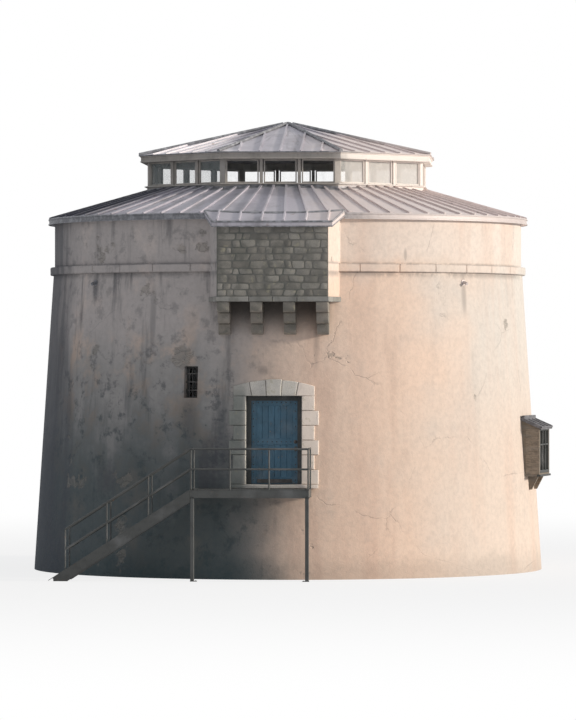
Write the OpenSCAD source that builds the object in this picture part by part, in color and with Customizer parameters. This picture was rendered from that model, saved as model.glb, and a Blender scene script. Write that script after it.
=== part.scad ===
// A round coastal gun tower of rendered rubble, later given a seamed metal roof
// with a glazed octagonal lantern. Its door is at first-floor level, under a box
// machicolation on four corbels. Z is up from the foot of the wall, the tower's
// axis is the Z axis, and the doorway looks along -Y.

/* [Drum] */
// Outer radius at the foot of the wall
drum_foot_r = 6330; // [6200:10:6800]
// Outer radius of the drum just under the string course
drum_top_r = 5850; // [5700:10:6000]
// Height of the drum, up to the string course
drum_h = 7300; // [7100:10:7800]
// Inner radius of the lower storey
store_r = 3560; // [3200:10:3620]
// Inner radius of the first-floor room
room_r = 3700; // [3650:10:3900]
// Bedding joint where one piece rests on another or against it
bed = 0.3; // [0.2:0.1:0.8]
// Angle from the door to the first joint in the wall, each side
front_seg = 30; // [26:1:34]

/* [Floors and vault] */
// Height of the first floor, level with the door sill
floor_z = 2250; // [2050:10:2400]
// Thickness of the first floor
floor_t = 250; // [180:10:320]
// Thickness of the ground floor
ground_t = 150; // [100:10:250]
// How far the ground floor runs under the wall
ground_toe = 100; // [60:10:200]
// Rise of the vault from springing to crown
vault_rise = 1150; // [900:10:1200]
// Thickness of the vault at its crown
crown_t = 700; // [500:10:740]
// Width of the ledge that carries the vault
vault_bed = 200; // [120:10:300]
// How far the gun platform lies below the top of the drum
platform_drop = 300; // [200:10:340]
// Joint between a floor's edge and the wall
floor_joint = 10; // [4:1:20]

/* [String course and parapet] */
// How far the parapet stands back from the top of the drum
parapet_back = 30; // [0:5:60]
// Thickness of the parapet
parapet_t = 1520; // [1200:10:1700]
// Height of the parapet's face, from the string course to the eaves
parapet_h = 1200; // [1100:10:1400]
// How far the string course stands out from the parapet
string_proj = 110; // [60:5:160]
// Height of the string course
string_h = 200; // [140:10:260]
// Depth of the string stones, inwards from the parapet's face
string_bed = 420; // [300:10:600]
// Number of stones in a full string course
string_stones = 36; // [24:1:48]
// Joint between dressed stones
mortar = 8; // [4:1:14]

/* [Machicolation] */
// Width of the front face
mach_w = 2620; // [2560:10:2800]
// Projection of the front face from the parapet
mach_proj = 800; // [700:10:900]
// Thickness of the front wall
mach_front_t = 300; // [240:10:340]
// Thickness of the side walls
mach_side_t = 300; // [240:10:340]
// Splay of the side walls, in degrees
mach_splay = 14; // [6:1:20]
// How far the top of the corbels lies below the string course
mach_drop = 720; // [600:10:800]
// Height of the ledge course at the foot of the box
ledge_h = 120; // [80:10:160]
// How far the ledge stands out from the box
ledge_proj = 30; // [10:5:45]
// Number of corbels
corbel_n = 4; // [3:1:4]
// Width of a corbel
corbel_w = 280; // [220:10:300]
// Height of one course of a corbel
corbel_course = 260; // [220:10:280]
// Courses in a corbel
corbel_steps = 3; // [2:1:4]
// Radius of the rounded nose of a course
corbel_nose = 140; // [100:5:180]

/* [Doorway] */
// Width of the opening between the jamb stones
door_w = 1330; // [1250:10:1360]
// Height of the opening above the sill
door_h = 2100; // [2000:10:2200]
// Width of the passage behind the jamb stones
passage_w = 1520; // [1480:10:1560]
// Height of the passage arch's springing above the head of the opening
passage_over = 110; // [105:5:200]
// Rise of the passage arch
passage_rise = 150; // [100:10:200]
// Depth of the dressed stones behind the wall's face, where they are thinnest
stone_bed = 220; // [160:10:320]
// Width of a short jamb stone
jamb_short = 300; // [240:10:340]
// Width of a long jamb stone
jamb_long = 400; // [350:10:430]
// Courses of jamb stones
jamb_n = 6; // [4:1:8]
// Height of the lintel at its ends
lintel_end = 230; // [180:10:280]
// Camber of the lintel's upper edge
lintel_rise = 150; // [80:10:200]
// Stones in the lintel
lintel_n = 5; // [3:2:7]
// How far the dressed stones stand out from the wall
stone_proj = 35; // [15:5:60]
// Height of the sill stone
sill_h = 90; // [60:10:120]
// How far the sill stands out from the wall
sill_proj = 90; // [60:5:120]

/* [Door] */
// Depth of the timber frame
frame_d = 120; // [110:5:140]
// Part of the frame that shows inside the opening
frame_show = 90; // [70:5:110]
// Step in the frame that the leaf closes against
rebate_w = 25; // [20:1:30]
// Thickness of the leaf
leaf_t = 60; // [50:1:66]
// Clearance round the leaf
leaf_gap = 6; // [5:0.5:8]
// Clearance at the leaf's free edge, where it swings past the frame
swing_gap = 9; // [8.5:0.5:14]
// Clearance under the leaf
leaf_foot = 8; // [6:1:14]
// Width of the leaf's stiles and rails
stile_w = 130; // [110:5:150]
// Depth of the leaf's sunk panels
panel_sink = 14; // [8:1:20]
// Radius of a hinge pin
pin_r = 12; // [9:0.5:13]
// Running clearance round a hinge pin
pin_gap = 0.3; // [0.2:0.05:0.5]
// Outer radius of a hinge eye
eye_r = 22; // [20:0.5:23]
// Height of a hinge eye
eye_h = 60; // [50:1:80]
// Distance from the frame's inner face to the pin
pin_off = 30; // [28:1:34]
// Height of the boss that holds a pin
boss_h = 30; // [20:1:40]
// Width of a hinge plate on the frame
plate_w = 60; // [50:1:80]
// Height of a hinge plate on the frame
plate_h = 90; // [70:1:120]
// Thickness of the iron straps and plates
strap_t = 8; // [6:1:10]
// Length of a hinge strap
strap_l = 620; // [400:10:800]
// Number of hinges
hinge_n = 3; // [2:1:4]
// Radius of the handle's knob
knob_r = 24; // [18:1:28]
// Radius of the handle's neck
knob_neck_r = 13; // [9:1:16]
// Distance from the leaf to the centre of the knob
knob_off = 38; // [34:1:50]
// Radius of the plate behind the knob
rose_r = 44; // [34:1:55]

/* [Windows] */
// Width of a slot window
slot_w = 350; // [300:10:400]
// Height of a slot window
slot_h = 750; // [650:10:760]
// Height of a slot window's sill above the floor
slot_sill = 2050; // [1950:10:2080]
// Azimuths of the slot windows, from the door towards the right
slot_az = [-19.4, 124, -124];
// Stock of a slot window's frame
slot_frame = 45; // [35:1:60]
// Recess of a slot window's frame from the wall's face
slot_recess = 160; // [120:10:240]
// Depth of a slot window's frame
slot_frame_d = 70; // [50:5:90]
// Thickness of window glass
glass_t = 12; // [8:1:16]

/* [Side window] */
// Azimuth of the projecting window, from the door towards the right
side_az = 80; // [77:1:83]
// Width of the opening through the wall
side_open_w = 1000; // [800:10:1100]
// Height of the opening through the wall
side_open_h = 1000; // [800:10:1100]
// Height of the opening's sill above the floor
side_sill = 170; // [50:10:230]
// Outer width of the box
side_w = 1400; // [1300:10:1500]
// Outer height of the box's cheeks
side_h = 1180; // [1150:10:1300]
// Projection of the box at its sill
side_proj = 330; // [300:10:400]
// Thickness of the cheeks and the sill board
side_t = 80; // [60:5:100]
// Fall of the hood from the wall to its front
hood_fall = 170; // [100:10:220]
// Thickness of the hood
hood_t = 60; // [40:5:80]
// Overhang of the hood
hood_over = 60; // [30:5:90]
// Height of the brackets under the box
bracket_h = 330; // [260:10:400]

/* [Lower roof] */
// Overhang of the eaves beyond the parapet
eave_over = 130; // [80:10:220]
// Pitch of the lower roof, in degrees
roof_pitch = 16; // [13:0.5:18]
// Vertical thickness of the lower roof
roof_t = 140; // [100:10:180]
// Overhang of the apron beyond the machicolation
apron_over = 110; // [60:10:160]
// Seams round the lower roof
seam_n = 72; // [48:4:96]
// Seams on the apron
apron_seams = 6; // [2:2:6]
// Width of a seam
seam_w = 50; // [30:1:60]
// Height of a seam above its sheet
seam_h = 45; // [25:1:60]

/* [Lantern] */
// Distance from the axis to the glass
lantern_r = 3350; // [3200:10:3450]
// Width of the curb outside the glass
curb_out = 60; // [50:5:120]
// Width of the curb inside the glass
curb_in = 120; // [80:5:160]
// Height of the curb above the roof, at the middle of a side
curb_show = 70; // [40:5:140]
// How far the curb reaches below the roof at its corners
curb_drop = 60; // [20:5:120]
// Height of the glazing
glazing_h = 580; // [500:10:700]
// Lights in each side of the lantern
lights = 3; // [2:1:4]
// Width of a mullion
mullion_w = 75; // [50:5:100]
// Width of a corner post
corner_w = 150; // [120:5:180]
// Depth of the posts
post_d = 110; // [80:5:140]
// Height of the eaves beam
beam_h = 170; // [120:10:220]
// Overhang of the eaves beam beyond the glass
beam_over = 210; // [150:10:260]
// Rise of the upper roof
upper_rise = 850; // [700:10:1000]
// Thickness of the upper roof, measured upwards
upper_t = 80; // [60:5:120]
// How far the upper roof stands out over its beam
upper_over = 30; // [0:5:60]
// Radius of the cap at the apex
cap_r = 240; // [180:10:320]
// Height of the cap above the apex
cap_h = 60; // [40:5:100]
// Height of the cap's rim above the roof
cap_rim = 18; // [10:1:30]
// Seams on each side of the upper roof
upper_seams = 5; // [1:2:5]
// Distance between the seams of the upper roof
upper_pitch = 500; // [400:10:560]
// Radius of the rolls on the hips of the upper roof
hip_r = 42; // [30:1:50]

/* [Stair] */
// Width of the flight between its stringers
stair_w = 940; // [800:10:1000]
// Going of a step
going = 280; // [250:5:300]
// Number of risers
riser_n = 12; // [11:1:13]
// Thickness of a tread
tread_t = 40; // [30:1:50]
// Overlap of one tread over the next
tread_lap = 20; // [10:5:30]
// Thickness of a stringer
stringer_t = 40; // [40:1:60]
// Depth of a stringer, measured upright
stringer_d = 300; // [260:10:340]
// How far the flight stands in from the wall's widest line, beside it
flight_in = 60; // [0:10:150]
// How far the landing runs to the left of the door's axis
landing_left = 1900; // [1500:10:2200]
// How far the landing runs to the right of the door's axis
landing_right = 900; // [800:10:1200]
// Thickness of the landing's deck
deck_t = 60; // [40:5:80]
// Depth of the landing's edge beams below its deck
beam_d = 140; // [100:10:180]
// Width of the landing's edge beams and legs
leg_w = 100; // [80:5:120]
// Height of the handrail
rail_h = 950; // [900:10:1100]
// Radius of a handrail
rail_r = 24; // [18:1:28]
// Radius of a rail post
rail_post_r = 20; // [14:1:20]
// Furthest distance between rail posts
rail_bay = 1250; // [1000:10:1300]

/* [Hidden] */
$fn = 256;
side_names = ["left", "right"];
seg_n = 4;
seg_angle = (180 - front_seg) / seg_n;
parapet_n = 2;

batter = atan((drum_foot_r - drum_top_r) / drum_h);
wall_joint = half_joint(bed, store_r);
passage_hw = passage_w / 2;
vault_r = (room_r * room_r + vault_rise * vault_rise) / (2 * vault_rise);
platform_z = drum_h - platform_drop;
crown_z = platform_z - crown_t;
spring_z = crown_z - vault_rise;
string_z = drum_h;
parapet_r = drum_top_r - parapet_back;
parapet_in_r = parapet_r - parapet_t;
string_r = parapet_r + string_proj;
string_in_r = parapet_r - string_bed;
parapet_z = string_z + string_h;

mach_z = drum_h - mach_drop;
mach_y = parapet_r + mach_proj;
mach_hw = mach_w / 2;
gap_hw = mach_hw - mach_side_t;
box_z = mach_z + ledge_h;
corbel_z = mach_z - corbel_course * corbel_steps;
corbel_pitch = (mach_w - corbel_w) / (corbel_n - 1);

sill_z = floor_z - sill_h;
door_hw = door_w / 2;
lintel_z = floor_z + door_h;
lintel_hw = door_hw + jamb_short;
lintel_r = (lintel_hw * lintel_hw + lintel_rise * lintel_rise) / (2 * lintel_rise);
lintel_top = lintel_z + lintel_end + lintel_rise;
rebate_y = face_r(lintel_top) - stone_bed;
passage_arch_r = (passage_hw * passage_hw + passage_rise * passage_rise) / (2 * passage_rise);
passage_spring_z = lintel_z + passage_over;
passage_top = passage_spring_z + passage_rise;

frame_hw = door_hw - frame_show;
frame_head = lintel_z - frame_show;
frame_y = rebate_y - frame_d;
stop_hw = frame_hw - rebate_w;
stop_head = frame_head - rebate_w;
leaf_z = floor_z + leaf_foot;
leaf_h = frame_head - leaf_gap - leaf_z;
leaf_x = -frame_hw + leaf_gap;
leaf_w = frame_hw - swing_gap - leaf_x;
pin_x = -frame_hw;
pin_y = -(frame_y - pin_off);
hinge_step = (leaf_h - 2 * stile_w) / (hinge_n - 1);
eye_in = pin_r + pin_gap;

slot_z = floor_z + slot_sill;
slot_face = face_r(slot_z + slot_h);
side_z = floor_z + side_sill;
side_face = face_r(side_z);
side_y = side_face + side_proj;
side_box_z = side_z - side_t;
hood_z = side_box_z + side_h;

roof_slope = tan(roof_pitch);
eave_r = parapet_r + eave_over;
eave_z = parapet_z + parapet_h;
apron_pitch = mach_w / (apron_seams - 1);
oct = cos(22.5);
curb_r = lantern_r + curb_out;
curb_z = roof_top(curb_r / oct) - roof_t - curb_drop;
glazing_z = roof_top(curb_r) + curb_show;
beam_z = glazing_z + glazing_h;
beam_r = lantern_r + beam_over;
upper_z = beam_z + beam_h + bed;
upper_r = beam_r + upper_over;
upper_slope = upper_rise / upper_r;
light_w = 2 * lantern_r * tan(22.5) / lights;
light_z = glazing_z + bed;
light_h = glazing_h - 2 * bed;

riser = sill_z / riser_n;
flight_l = (riser_n - 1) * going;
flight_foot = -landing_left - flight_l;
flight_y = max(drum_foot_r, drum_top_r) - flight_in;
landing_y = flight_y + stair_w + 2 * stringer_t;
nosing_slope = riser / going;
rail_in = stringer_t / 2;
far = 9000;

render_tone = [0.80, 0.74, 0.66];
shade_tone = [0.62, 0.59, 0.55];
granite_tone = [0.78, 0.76, 0.72];
metal_tone = [0.70, 0.69, 0.75];
dark_tone = [0.24, 0.23, 0.23];
door_tone = [0.17, 0.29, 0.38];
timber_tone = [0.45, 0.36, 0.27];
glass_tone = [0.70, 0.80, 0.84, 0.45];

// Radius of the drum's face at a height
function face_r(z) = drum_foot_r - z * tan(batter);
// Height of the lower roof's top surface at a radius
function roof_top(r) = eave_z + (eave_r - r) * roof_slope;
// Points of an arc in the plane, from one angle to another
function arc_points(cx, cy, r, a0, a1, n) =
  [for (i = [0 : n]) let (a = a0 + (a1 - a0) * i / n) [cx + r * cos(a), cy + r * sin(a)]];
// Angle that half a joint takes up at a radius
function half_joint(w, r) = w / r * 90 / PI;
// Joints between rail posts over a length, no further apart than the bay
function bays(length) = ceil(length / rail_bay);

// Solid drum of the wall's outer face, stood out by a margin
module drum_solid(out = 0) {
  cylinder(h = drum_h, r1 = drum_foot_r + out, r2 = drum_top_r + out);
}

// Everything that stands behind the tower's outer face, string course included
module tower_core() {
  drum_solid(bed);
  translate([0, 0, string_z]) cylinder(h = string_h, r = string_r + bed);
  translate([0, 0, parapet_z]) cylinder(h = far, r = parapet_r + bed);
}

// Turns a piece drawn on the -Y side to an azimuth from the door
module at_azimuth(a) {
  rotate([0, 0, a]) children();
}

// Draws an XZ outline as a block from the plane y = -y0 out to y = -y1
module outward(y0, y1) {
  translate([0, -y0, 0]) rotate([90, 0, 0]) linear_extrude(y1 - y0) children();
}

// Part of a revolved profile between two azimuths from the door, short of each by half a joint
module sector(a0, a1, joint = 0) {
  rotate([0, 0, a0 + joint - 90]) rotate_extrude(angle = a1 - a0 - 2 * joint) children();
}

module drum_profile() {
  polygon([
    [store_r + ground_toe, 0], [drum_foot_r, 0], [drum_top_r, drum_h],
    [room_r + vault_bed, drum_h], [room_r + vault_bed, spring_z], [room_r, spring_z],
    [room_r, floor_z - floor_t], [store_r, floor_z - floor_t],
    [store_r, ground_t], [store_r + ground_toe, ground_t]]);
}

module parapet_profile() {
  polygon([
    [parapet_in_r, string_z + bed], [string_in_r, string_z + bed], [string_in_r, parapet_z],
    [parapet_r, parapet_z], [parapet_r, roof_top(parapet_r) - roof_t - bed],
    [parapet_in_r, roof_top(parapet_in_r) - roof_t - bed]]);
}

// Circle of the passage's segmental arch
module passage_arch(gap = 0) {
  translate([0, passage_top - passage_arch_r]) circle(r = passage_arch_r - gap);
}

// Outline of a frame that fills the doorway passage
module frame_outline() {
  intersection() {
    passage_arch(bed);
    translate([-passage_hw + bed, floor_z + bed]) square([passage_w - 2 * bed, far]);
  }
}

// Outline of the dressed stones, with their long and short courses, short by a joint
module surround_outline(joint = 0) {
  course = door_h / jamb_n;
  for (i = [0 : jamb_n - 1]) {
    w = door_hw + (i % 2 == 0 ? jamb_long : jamb_short) - joint;
    translate([-w, floor_z + i * course + joint]) square([2 * w, course - joint]);
  }
  lintel_outline(joint);
}

module lintel_outline(joint) {
  w = lintel_hw - joint;
  intersection() {
    translate([0, lintel_top - lintel_r]) circle(r = lintel_r - joint);
    translate([-w, lintel_z]) square([2 * w, lintel_end + lintel_rise]);
  }
}

module sill_outline(joint = 0) {
  w = door_hw + jamb_long - joint;
  translate([-w, sill_z + joint]) square([2 * w, sill_h - 2 * joint]);
}

// Room that the dressed stones take out of the wall's face
module surround_notch() {
  outward(rebate_y, far) {
    surround_outline();
    sill_outline();
  }
}

// Shaft of a slot window through the wall
module slot_shaft(a) {
  at_azimuth(a) translate([-slot_w / 2, -far, slot_z]) cube([slot_w, far, slot_h]);
}

module side_shaft() {
  at_azimuth(side_az)
    translate([-side_open_w / 2, -far, side_z]) cube([side_open_w, far, side_open_h]);
}

module windows_cut() {
  for (a = slot_az) slot_shaft(a);
  side_shaft();
}

// Wall beside the door, out to its first joint
module wall_beside_door(side) {
  color(shade_tone) difference() {
    sector(side < 0 ? -front_seg : 0, side < 0 ? 0 : front_seg, wall_joint) drum_profile();
    translate([-passage_hw, -far, -1]) cube([passage_w, far, drum_h + 2]);
    surround_notch();
    windows_cut();
  }
}

module wall_in_doorway(low, high) {
  intersection() {
    sector(-front_seg, front_seg) drum_profile();
    translate([-passage_hw + bed, -far, low]) cube([passage_w - 2 * bed, far, high - low]);
  }
}

module wall_under_door() {
  color(shade_tone) difference() {
    wall_in_doorway(0, floor_z);
    surround_notch();
  }
}

module wall_over_door() {
  color(shade_tone) difference() {
    wall_in_doorway(passage_spring_z, drum_h);
    outward(0, far) passage_arch();
    surround_notch();
  }
}

// One of the plain wall segments, counted from the door
module wall_segment(side, i) {
  a = front_seg + (i - 1) * seg_angle;
  color(side < 0 ? shade_tone : render_tone) difference() {
    sector(side < 0 ? -a - seg_angle : a, side < 0 ? -a : a + seg_angle, wall_joint) drum_profile();
    windows_cut();
  }
}

// Clear width of the way from the platform into the machicolation
module parapet_gap() {
  translate([-gap_hw, -far, 0]) cube([2 * gap_hw, far, far * 2]);
}

module string_course() {
  step = 360 / string_stones;
  color(shade_tone) difference() {
    for (i = [0 : string_stones - 1])
      sector(i * step, (i + 1) * step, half_joint(mortar, string_r))
        translate([string_in_r + bed, string_z + bed])
          square([string_r - string_in_r - bed, string_h - 2 * bed]);
    parapet_gap();
  }
}

module parapet(side, i) {
  seg = 180 / parapet_n;
  a = (i - 1) * seg;
  color(side < 0 ? shade_tone : render_tone) difference() {
    sector(side < 0 ? -a - seg : a, side < 0 ? -a : a + seg, half_joint(bed, parapet_in_r))
      parapet_profile();
    parapet_gap();
  }
}

// Plan of the machicolation, stood out by a margin and thinned to its inside
module mach_plan(out = 0, inside = false) {
  t = inside ? mach_side_t : 0;
  hw = mach_hw - t + out;
  y = mach_y - (inside ? mach_front_t : 0) + out;
  run = y - string_in_r;
  polygon([[-hw, -y], [hw, -y], [hw + run * tan(mach_splay), -string_in_r],
           [-hw - run * tan(mach_splay), -string_in_r]]);
}

// Profile of one corbel, stepped out in rounded courses
module corbel_profile() {
  reach = mach_y - string_in_r;
  face = face_r(mach_z) - string_in_r;
  step = (reach - face) / corbel_steps;
  for (i = [0 : corbel_steps - 1]) {
    w = face + (i + 1) * step;
    polygon(concat(
      [[0, (i + 1) * corbel_course], [0, i * corbel_course]],
      arc_points(w - corbel_nose, i * corbel_course + corbel_nose, corbel_nose, -90, 0, $fn / 32),
      [[w, (i + 1) * corbel_course]]));
  }
}

module machicolation_corbels() {
  color(shade_tone) difference() {
    for (i = [0 : corbel_n - 1])
      translate([(i - (corbel_n - 1) / 2) * corbel_pitch + corbel_w / 2, -string_in_r, corbel_z])
        rotate([90, 0, -90]) linear_extrude(corbel_w) corbel_profile();
    drum_solid(bed);
  }
}

module machicolation_ledge() {
  color(granite_tone) difference() {
    translate([0, 0, mach_z + bed]) linear_extrude(ledge_h - 2 * bed) mach_plan(ledge_proj);
    translate([0, 0, mach_z]) linear_extrude(ledge_h) mach_plan(0, true);
    drum_solid(bed);
  }
}

// Everything above the underside of the roofs
module above_roof() {
  rotate_extrude() polygon([
    [0, roof_top(0) - roof_t - bed], [eave_r, roof_top(eave_r) - roof_t - bed],
    [eave_r, far * 2], [0, far * 2]]);
}

// Band between two heights above the apron's slope, run across the front
module apron_band(low, high) {
  rotate([90, 0, 90]) translate([0, 0, -far / 2]) linear_extrude(far) polygon([
    [-far, roof_top(far) + low], [0, roof_top(0) + low],
    [0, roof_top(0) + high], [-far, roof_top(far) + high]]);
}

module machicolation_box() {
  color(shade_tone) difference() {
    translate([0, 0, box_z]) linear_extrude(eave_z - box_z) mach_plan();
    translate([0, 0, box_z - 1]) linear_extrude(far) mach_plan(0, true);
    tower_core();
    above_roof();
    apron_band(-roof_t - bed, far);
  }
}

module machicolation_roof() {
  color(metal_tone) difference() {
    intersection() {
      translate([0, 0, box_z]) linear_extrude(far) mach_plan(apron_over);
      apron_band(-roof_t, 0);
    }
    cylinder(h = far * 2, r = eave_r + bed);
  }
}

module ground_floor() {
  color(granite_tone) cylinder(h = ground_t - bed, r = store_r + ground_toe - floor_joint);
}

module first_floor() {
  color(timber_tone) translate([0, 0, floor_z - floor_t + bed])
    cylinder(h = floor_t - bed, r = room_r - floor_joint);
}

module gun_platform_vault() {
  color(granite_tone) difference() {
    translate([0, 0, spring_z + bed])
      cylinder(h = platform_z - spring_z - bed, r = room_r + vault_bed - floor_joint);
    translate([0, 0, crown_z - vault_r]) sphere(r = vault_r, $fn = 180);
  }
}

module door_surround() {
  course = door_h / jamb_n;
  fan = 2 * asin(lintel_hw / lintel_r) / lintel_n;
  color(granite_tone) intersection() {
    outward(rebate_y + bed, far) difference() {
      surround_outline(bed);
      translate([-door_hw, floor_z - 1]) square([door_w, door_h + 1]);
      for (i = [1 : jamb_n - 1])
        translate([-far / 2, floor_z + i * course - mortar / 2]) square([far, mortar]);
      translate([-far / 2, lintel_z - mortar]) square([far, mortar]);
      for (i = [1 : lintel_n - 1])
        translate([0, lintel_top - lintel_r]) rotate((i - lintel_n / 2) * fan)
          translate([-mortar / 2, 0]) square([mortar, far]);
    }
    drum_solid(stone_proj);
  }
}

module door_sill() {
  color(granite_tone) intersection() {
    outward(rebate_y + bed, far) sill_outline(bed);
    drum_solid(sill_proj);
  }
}

module door_frame() {
  color(dark_tone) {
    outward(frame_y, rebate_y - (frame_d - leaf_t - leaf_gap)) difference() {
      frame_outline();
      translate([-frame_hw, floor_z - 1]) square([2 * frame_hw, frame_head - floor_z + 1]);
    }
    outward(rebate_y - (frame_d - leaf_t - leaf_gap), rebate_y) difference() {
      frame_outline();
      translate([-stop_hw, floor_z - 1]) square([2 * stop_hw, stop_head - floor_z + 1]);
    }
  }
}

// Height of the foot of a hinge eye
function hinge_z(i) = leaf_z + stile_w + i * hinge_step - eye_h / 2;

module door_pins() {
  color(dark_tone) for (i = [0 : hinge_n - 1])
    translate([pin_x, pin_y, hinge_z(i) - boss_h - pin_gap]) {
      cylinder(h = boss_h, r = eye_r);
      cylinder(h = boss_h + pin_gap + eye_h, r = pin_r);
      translate([-plate_w, bed - pin_off, 0]) cube([plate_w, pin_off - bed, boss_h]);
      translate([-eye_r - plate_w, bed - pin_off, 0]) cube([plate_w, strap_t, plate_h]);
    }
}

module door_leaf() {
  w = leaf_w - 2 * stile_w;
  h = (leaf_h - 3 * stile_w) / 2;
  color(door_tone) difference() {
    translate([leaf_x, -frame_y - leaf_t, leaf_z]) cube([leaf_w, leaf_t, leaf_h]);
    for (i = [0, 1])
      translate([leaf_x + stile_w, -frame_y - leaf_t - 1, leaf_z + stile_w + i * (h + stile_w)])
        cube([w, panel_sink + 1, h]);
  }
}

module door_ironwork() {
  knob_x = leaf_x + leaf_w - stile_w / 2;
  knob_z = leaf_z + leaf_h / 2;
  color(dark_tone) {
    for (i = [0 : hinge_n - 1]) difference() {
      union() {
        translate([pin_x, pin_y, hinge_z(i)]) cylinder(h = eye_h, r = eye_r);
        translate([pin_x, pin_y - pin_off + bed, hinge_z(i)]) {
          cube([strap_l, strap_t, eye_h]);
          cube([eye_r, pin_off - pin_r, eye_h]);
        }
      }
      translate([pin_x, pin_y, hinge_z(i) - 1]) cylinder(h = eye_h + 2, r = eye_in);
      translate([pin_x - far, pin_y - pin_off - 1, hinge_z(i) - 1])
        cube([far + leaf_gap, pin_off - eye_r + 1, eye_h + 2]);
    }
    translate([knob_x, -frame_y - leaf_t - bed, knob_z]) rotate([90, 0, 0]) {
      cylinder(h = strap_t, r = rose_r);
      cylinder(h = knob_off, r = knob_neck_r);
      translate([0, 0, knob_off]) sphere(r = knob_r);
    }
  }
}

// Outline of a slot window, drawn in from its shaft by a margin
module slot_outline(inset) {
  translate([inset - slot_w / 2, slot_z + inset]) square([slot_w - 2 * inset, slot_h - 2 * inset]);
}

module slot_window_frames() {
  y = slot_face - slot_recess - slot_frame_d;
  color(dark_tone) for (a = slot_az) at_azimuth(a)
    outward(y, y + slot_frame_d) difference() {
      slot_outline(bed);
      slot_outline(slot_frame);
    }
}

module window_glass() {
  y = slot_face - slot_recess - (slot_frame_d + glass_t) / 2;
  side_hw = side_w / 2 - side_t - bed;
  color(glass_tone) {
    for (a = slot_az) at_azimuth(a) outward(y, y + glass_t) slot_outline(slot_frame + bed);
    at_azimuth(side_az) difference() {
      outward(side_y - side_t, side_y - side_t + glass_t)
        translate([-side_hw, side_z + bed]) square([2 * side_hw, side_h]);
      across(far) under_hood(-bed, far, side_face, side_y);
    }
  }
}

// Top of the side window's cheeks, sloped under the hood, as a YZ outline
module under_hood(low, high, y0, y1) {
  slope = hood_fall / (side_proj + hood_over);
  polygon([
    [-y0, hood_z + (side_y - y0) * slope + low], [-y1, hood_z + (side_y - y1) * slope + low],
    [-y1, hood_z + (side_y - y1) * slope + high], [-y0, hood_z + (side_y - y0) * slope + high]]);
}

module across(w) {
  rotate([90, 0, 90]) translate([0, 0, -w / 2]) linear_extrude(w) children();
}

module side_window_box() {
  back = side_face - side_proj;
  color(timber_tone) at_azimuth(side_az) difference() {
    union() {
      translate([-side_w / 2, -side_y, side_box_z]) cube([side_w, side_y - back, side_t]);
      for (x = [-side_w / 2, side_w / 2 - side_t])
        translate([x, -side_y, side_box_z + side_t]) cube([side_t, side_y - back, far]);
      for (x = [-side_w / 4, side_w / 4]) translate([x - side_t / 2, 0, 0])
        rotate([90, 0, 90]) linear_extrude(side_t) polygon([
          [-side_y + side_t, side_box_z], [-back, side_box_z],
          [-back, side_box_z - bracket_h], [-side_face - side_t, side_box_z - bracket_h]]);
    }
    across(far) under_hood(-bed, far, back - 1, side_y + 1);
    rotate([0, 0, -side_az]) drum_solid(bed);
  }
}

module side_window_hood() {
  back = side_face - side_proj;
  color(dark_tone) at_azimuth(side_az) difference() {
    across(side_w + 2 * hood_over) under_hood(0, hood_t, back, side_y + hood_over);
    rotate([0, 0, -side_az]) drum_solid(bed);
  }
}

// Octagon with a flat side towards the door, by the distance to its sides
module octagon(r) {
  rotate(22.5) circle(r = r / oct, $fn = 8);
}

module octagon_ring(r0, r1, h) {
  linear_extrude(h) difference() {
    octagon(r1);
    octagon(r0);
  }
}

module lower_roof() {
  inner = lantern_r - curb_in;
  color(metal_tone) difference() {
    rotate_extrude() polygon([
      [inner, roof_top(inner) - roof_t], [eave_r, roof_top(eave_r) - roof_t],
      [eave_r, roof_top(eave_r)], [inner, roof_top(inner)]]);
    linear_extrude(far * 2) octagon(curb_r + bed);
  }
}

module lantern_curb() {
  color(dark_tone) translate([0, 0, curb_z]) octagon_ring(lantern_r - curb_in, curb_r, glazing_z - curb_z);
}

module lantern_posts(out = 0) {
  corner = corner_w + 2 * out;
  mullion = mullion_w + 2 * out;
  color(dark_tone) translate([0, 0, light_z]) for (k = [0 : 7]) {
    at_azimuth(k * 45 + 22.5)
      translate([-corner / 2, -lantern_r / oct - curb_out / 2, 0]) cube([corner, post_d, light_h]);
    for (j = [1 : lights - 1]) at_azimuth(k * 45)
      translate([(j - lights / 2) * light_w - mullion / 2, -lantern_r - post_d / 2, 0])
        cube([mullion, post_d, light_h]);
  }
}

module lantern_glass() {
  color(glass_tone) difference() {
    translate([0, 0, light_z])
      octagon_ring(lantern_r - glass_t / 2, lantern_r + glass_t / 2, light_h);
    lantern_posts(bed);
  }
}

module lantern_beam() {
  color(dark_tone) translate([0, 0, beam_z]) octagon_ring(lantern_r - curb_in, beam_r, beam_h);
}

// Solid octagonal pyramid of the upper roof
module upper_pyramid() {
  rotate(22.5) cylinder(h = upper_rise, r1 = upper_r / oct, r2 = 0, $fn = 8);
}

module upper_roof() {
  color(metal_tone) translate([0, 0, upper_z]) difference() {
    upper_pyramid();
    translate([0, 0, -upper_t]) upper_pyramid();
  }
}

module roof_cap() {
  fall = cap_r * upper_slope;
  color(dark_tone) translate([0, 0, upper_z]) difference() {
    translate([0, 0, upper_rise]) rotate_extrude()
      polygon([[0, cap_h], [cap_r, cap_rim - fall], [cap_r, -fall - cap_h], [0, -fall - cap_h]]);
    translate([0, 0, bed]) upper_pyramid();
  }
}

// Side of a seam that follows a slope between two distances from the axis
module seam_side(y0, y1, top, slope) {
  foot = top + bed;
  polygon([
    [-y0, foot - y0 * slope], [-y1, foot - y1 * slope],
    [-y1, foot - y1 * slope + seam_h], [-y0, foot - y0 * slope + seam_h]]);
}

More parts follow.
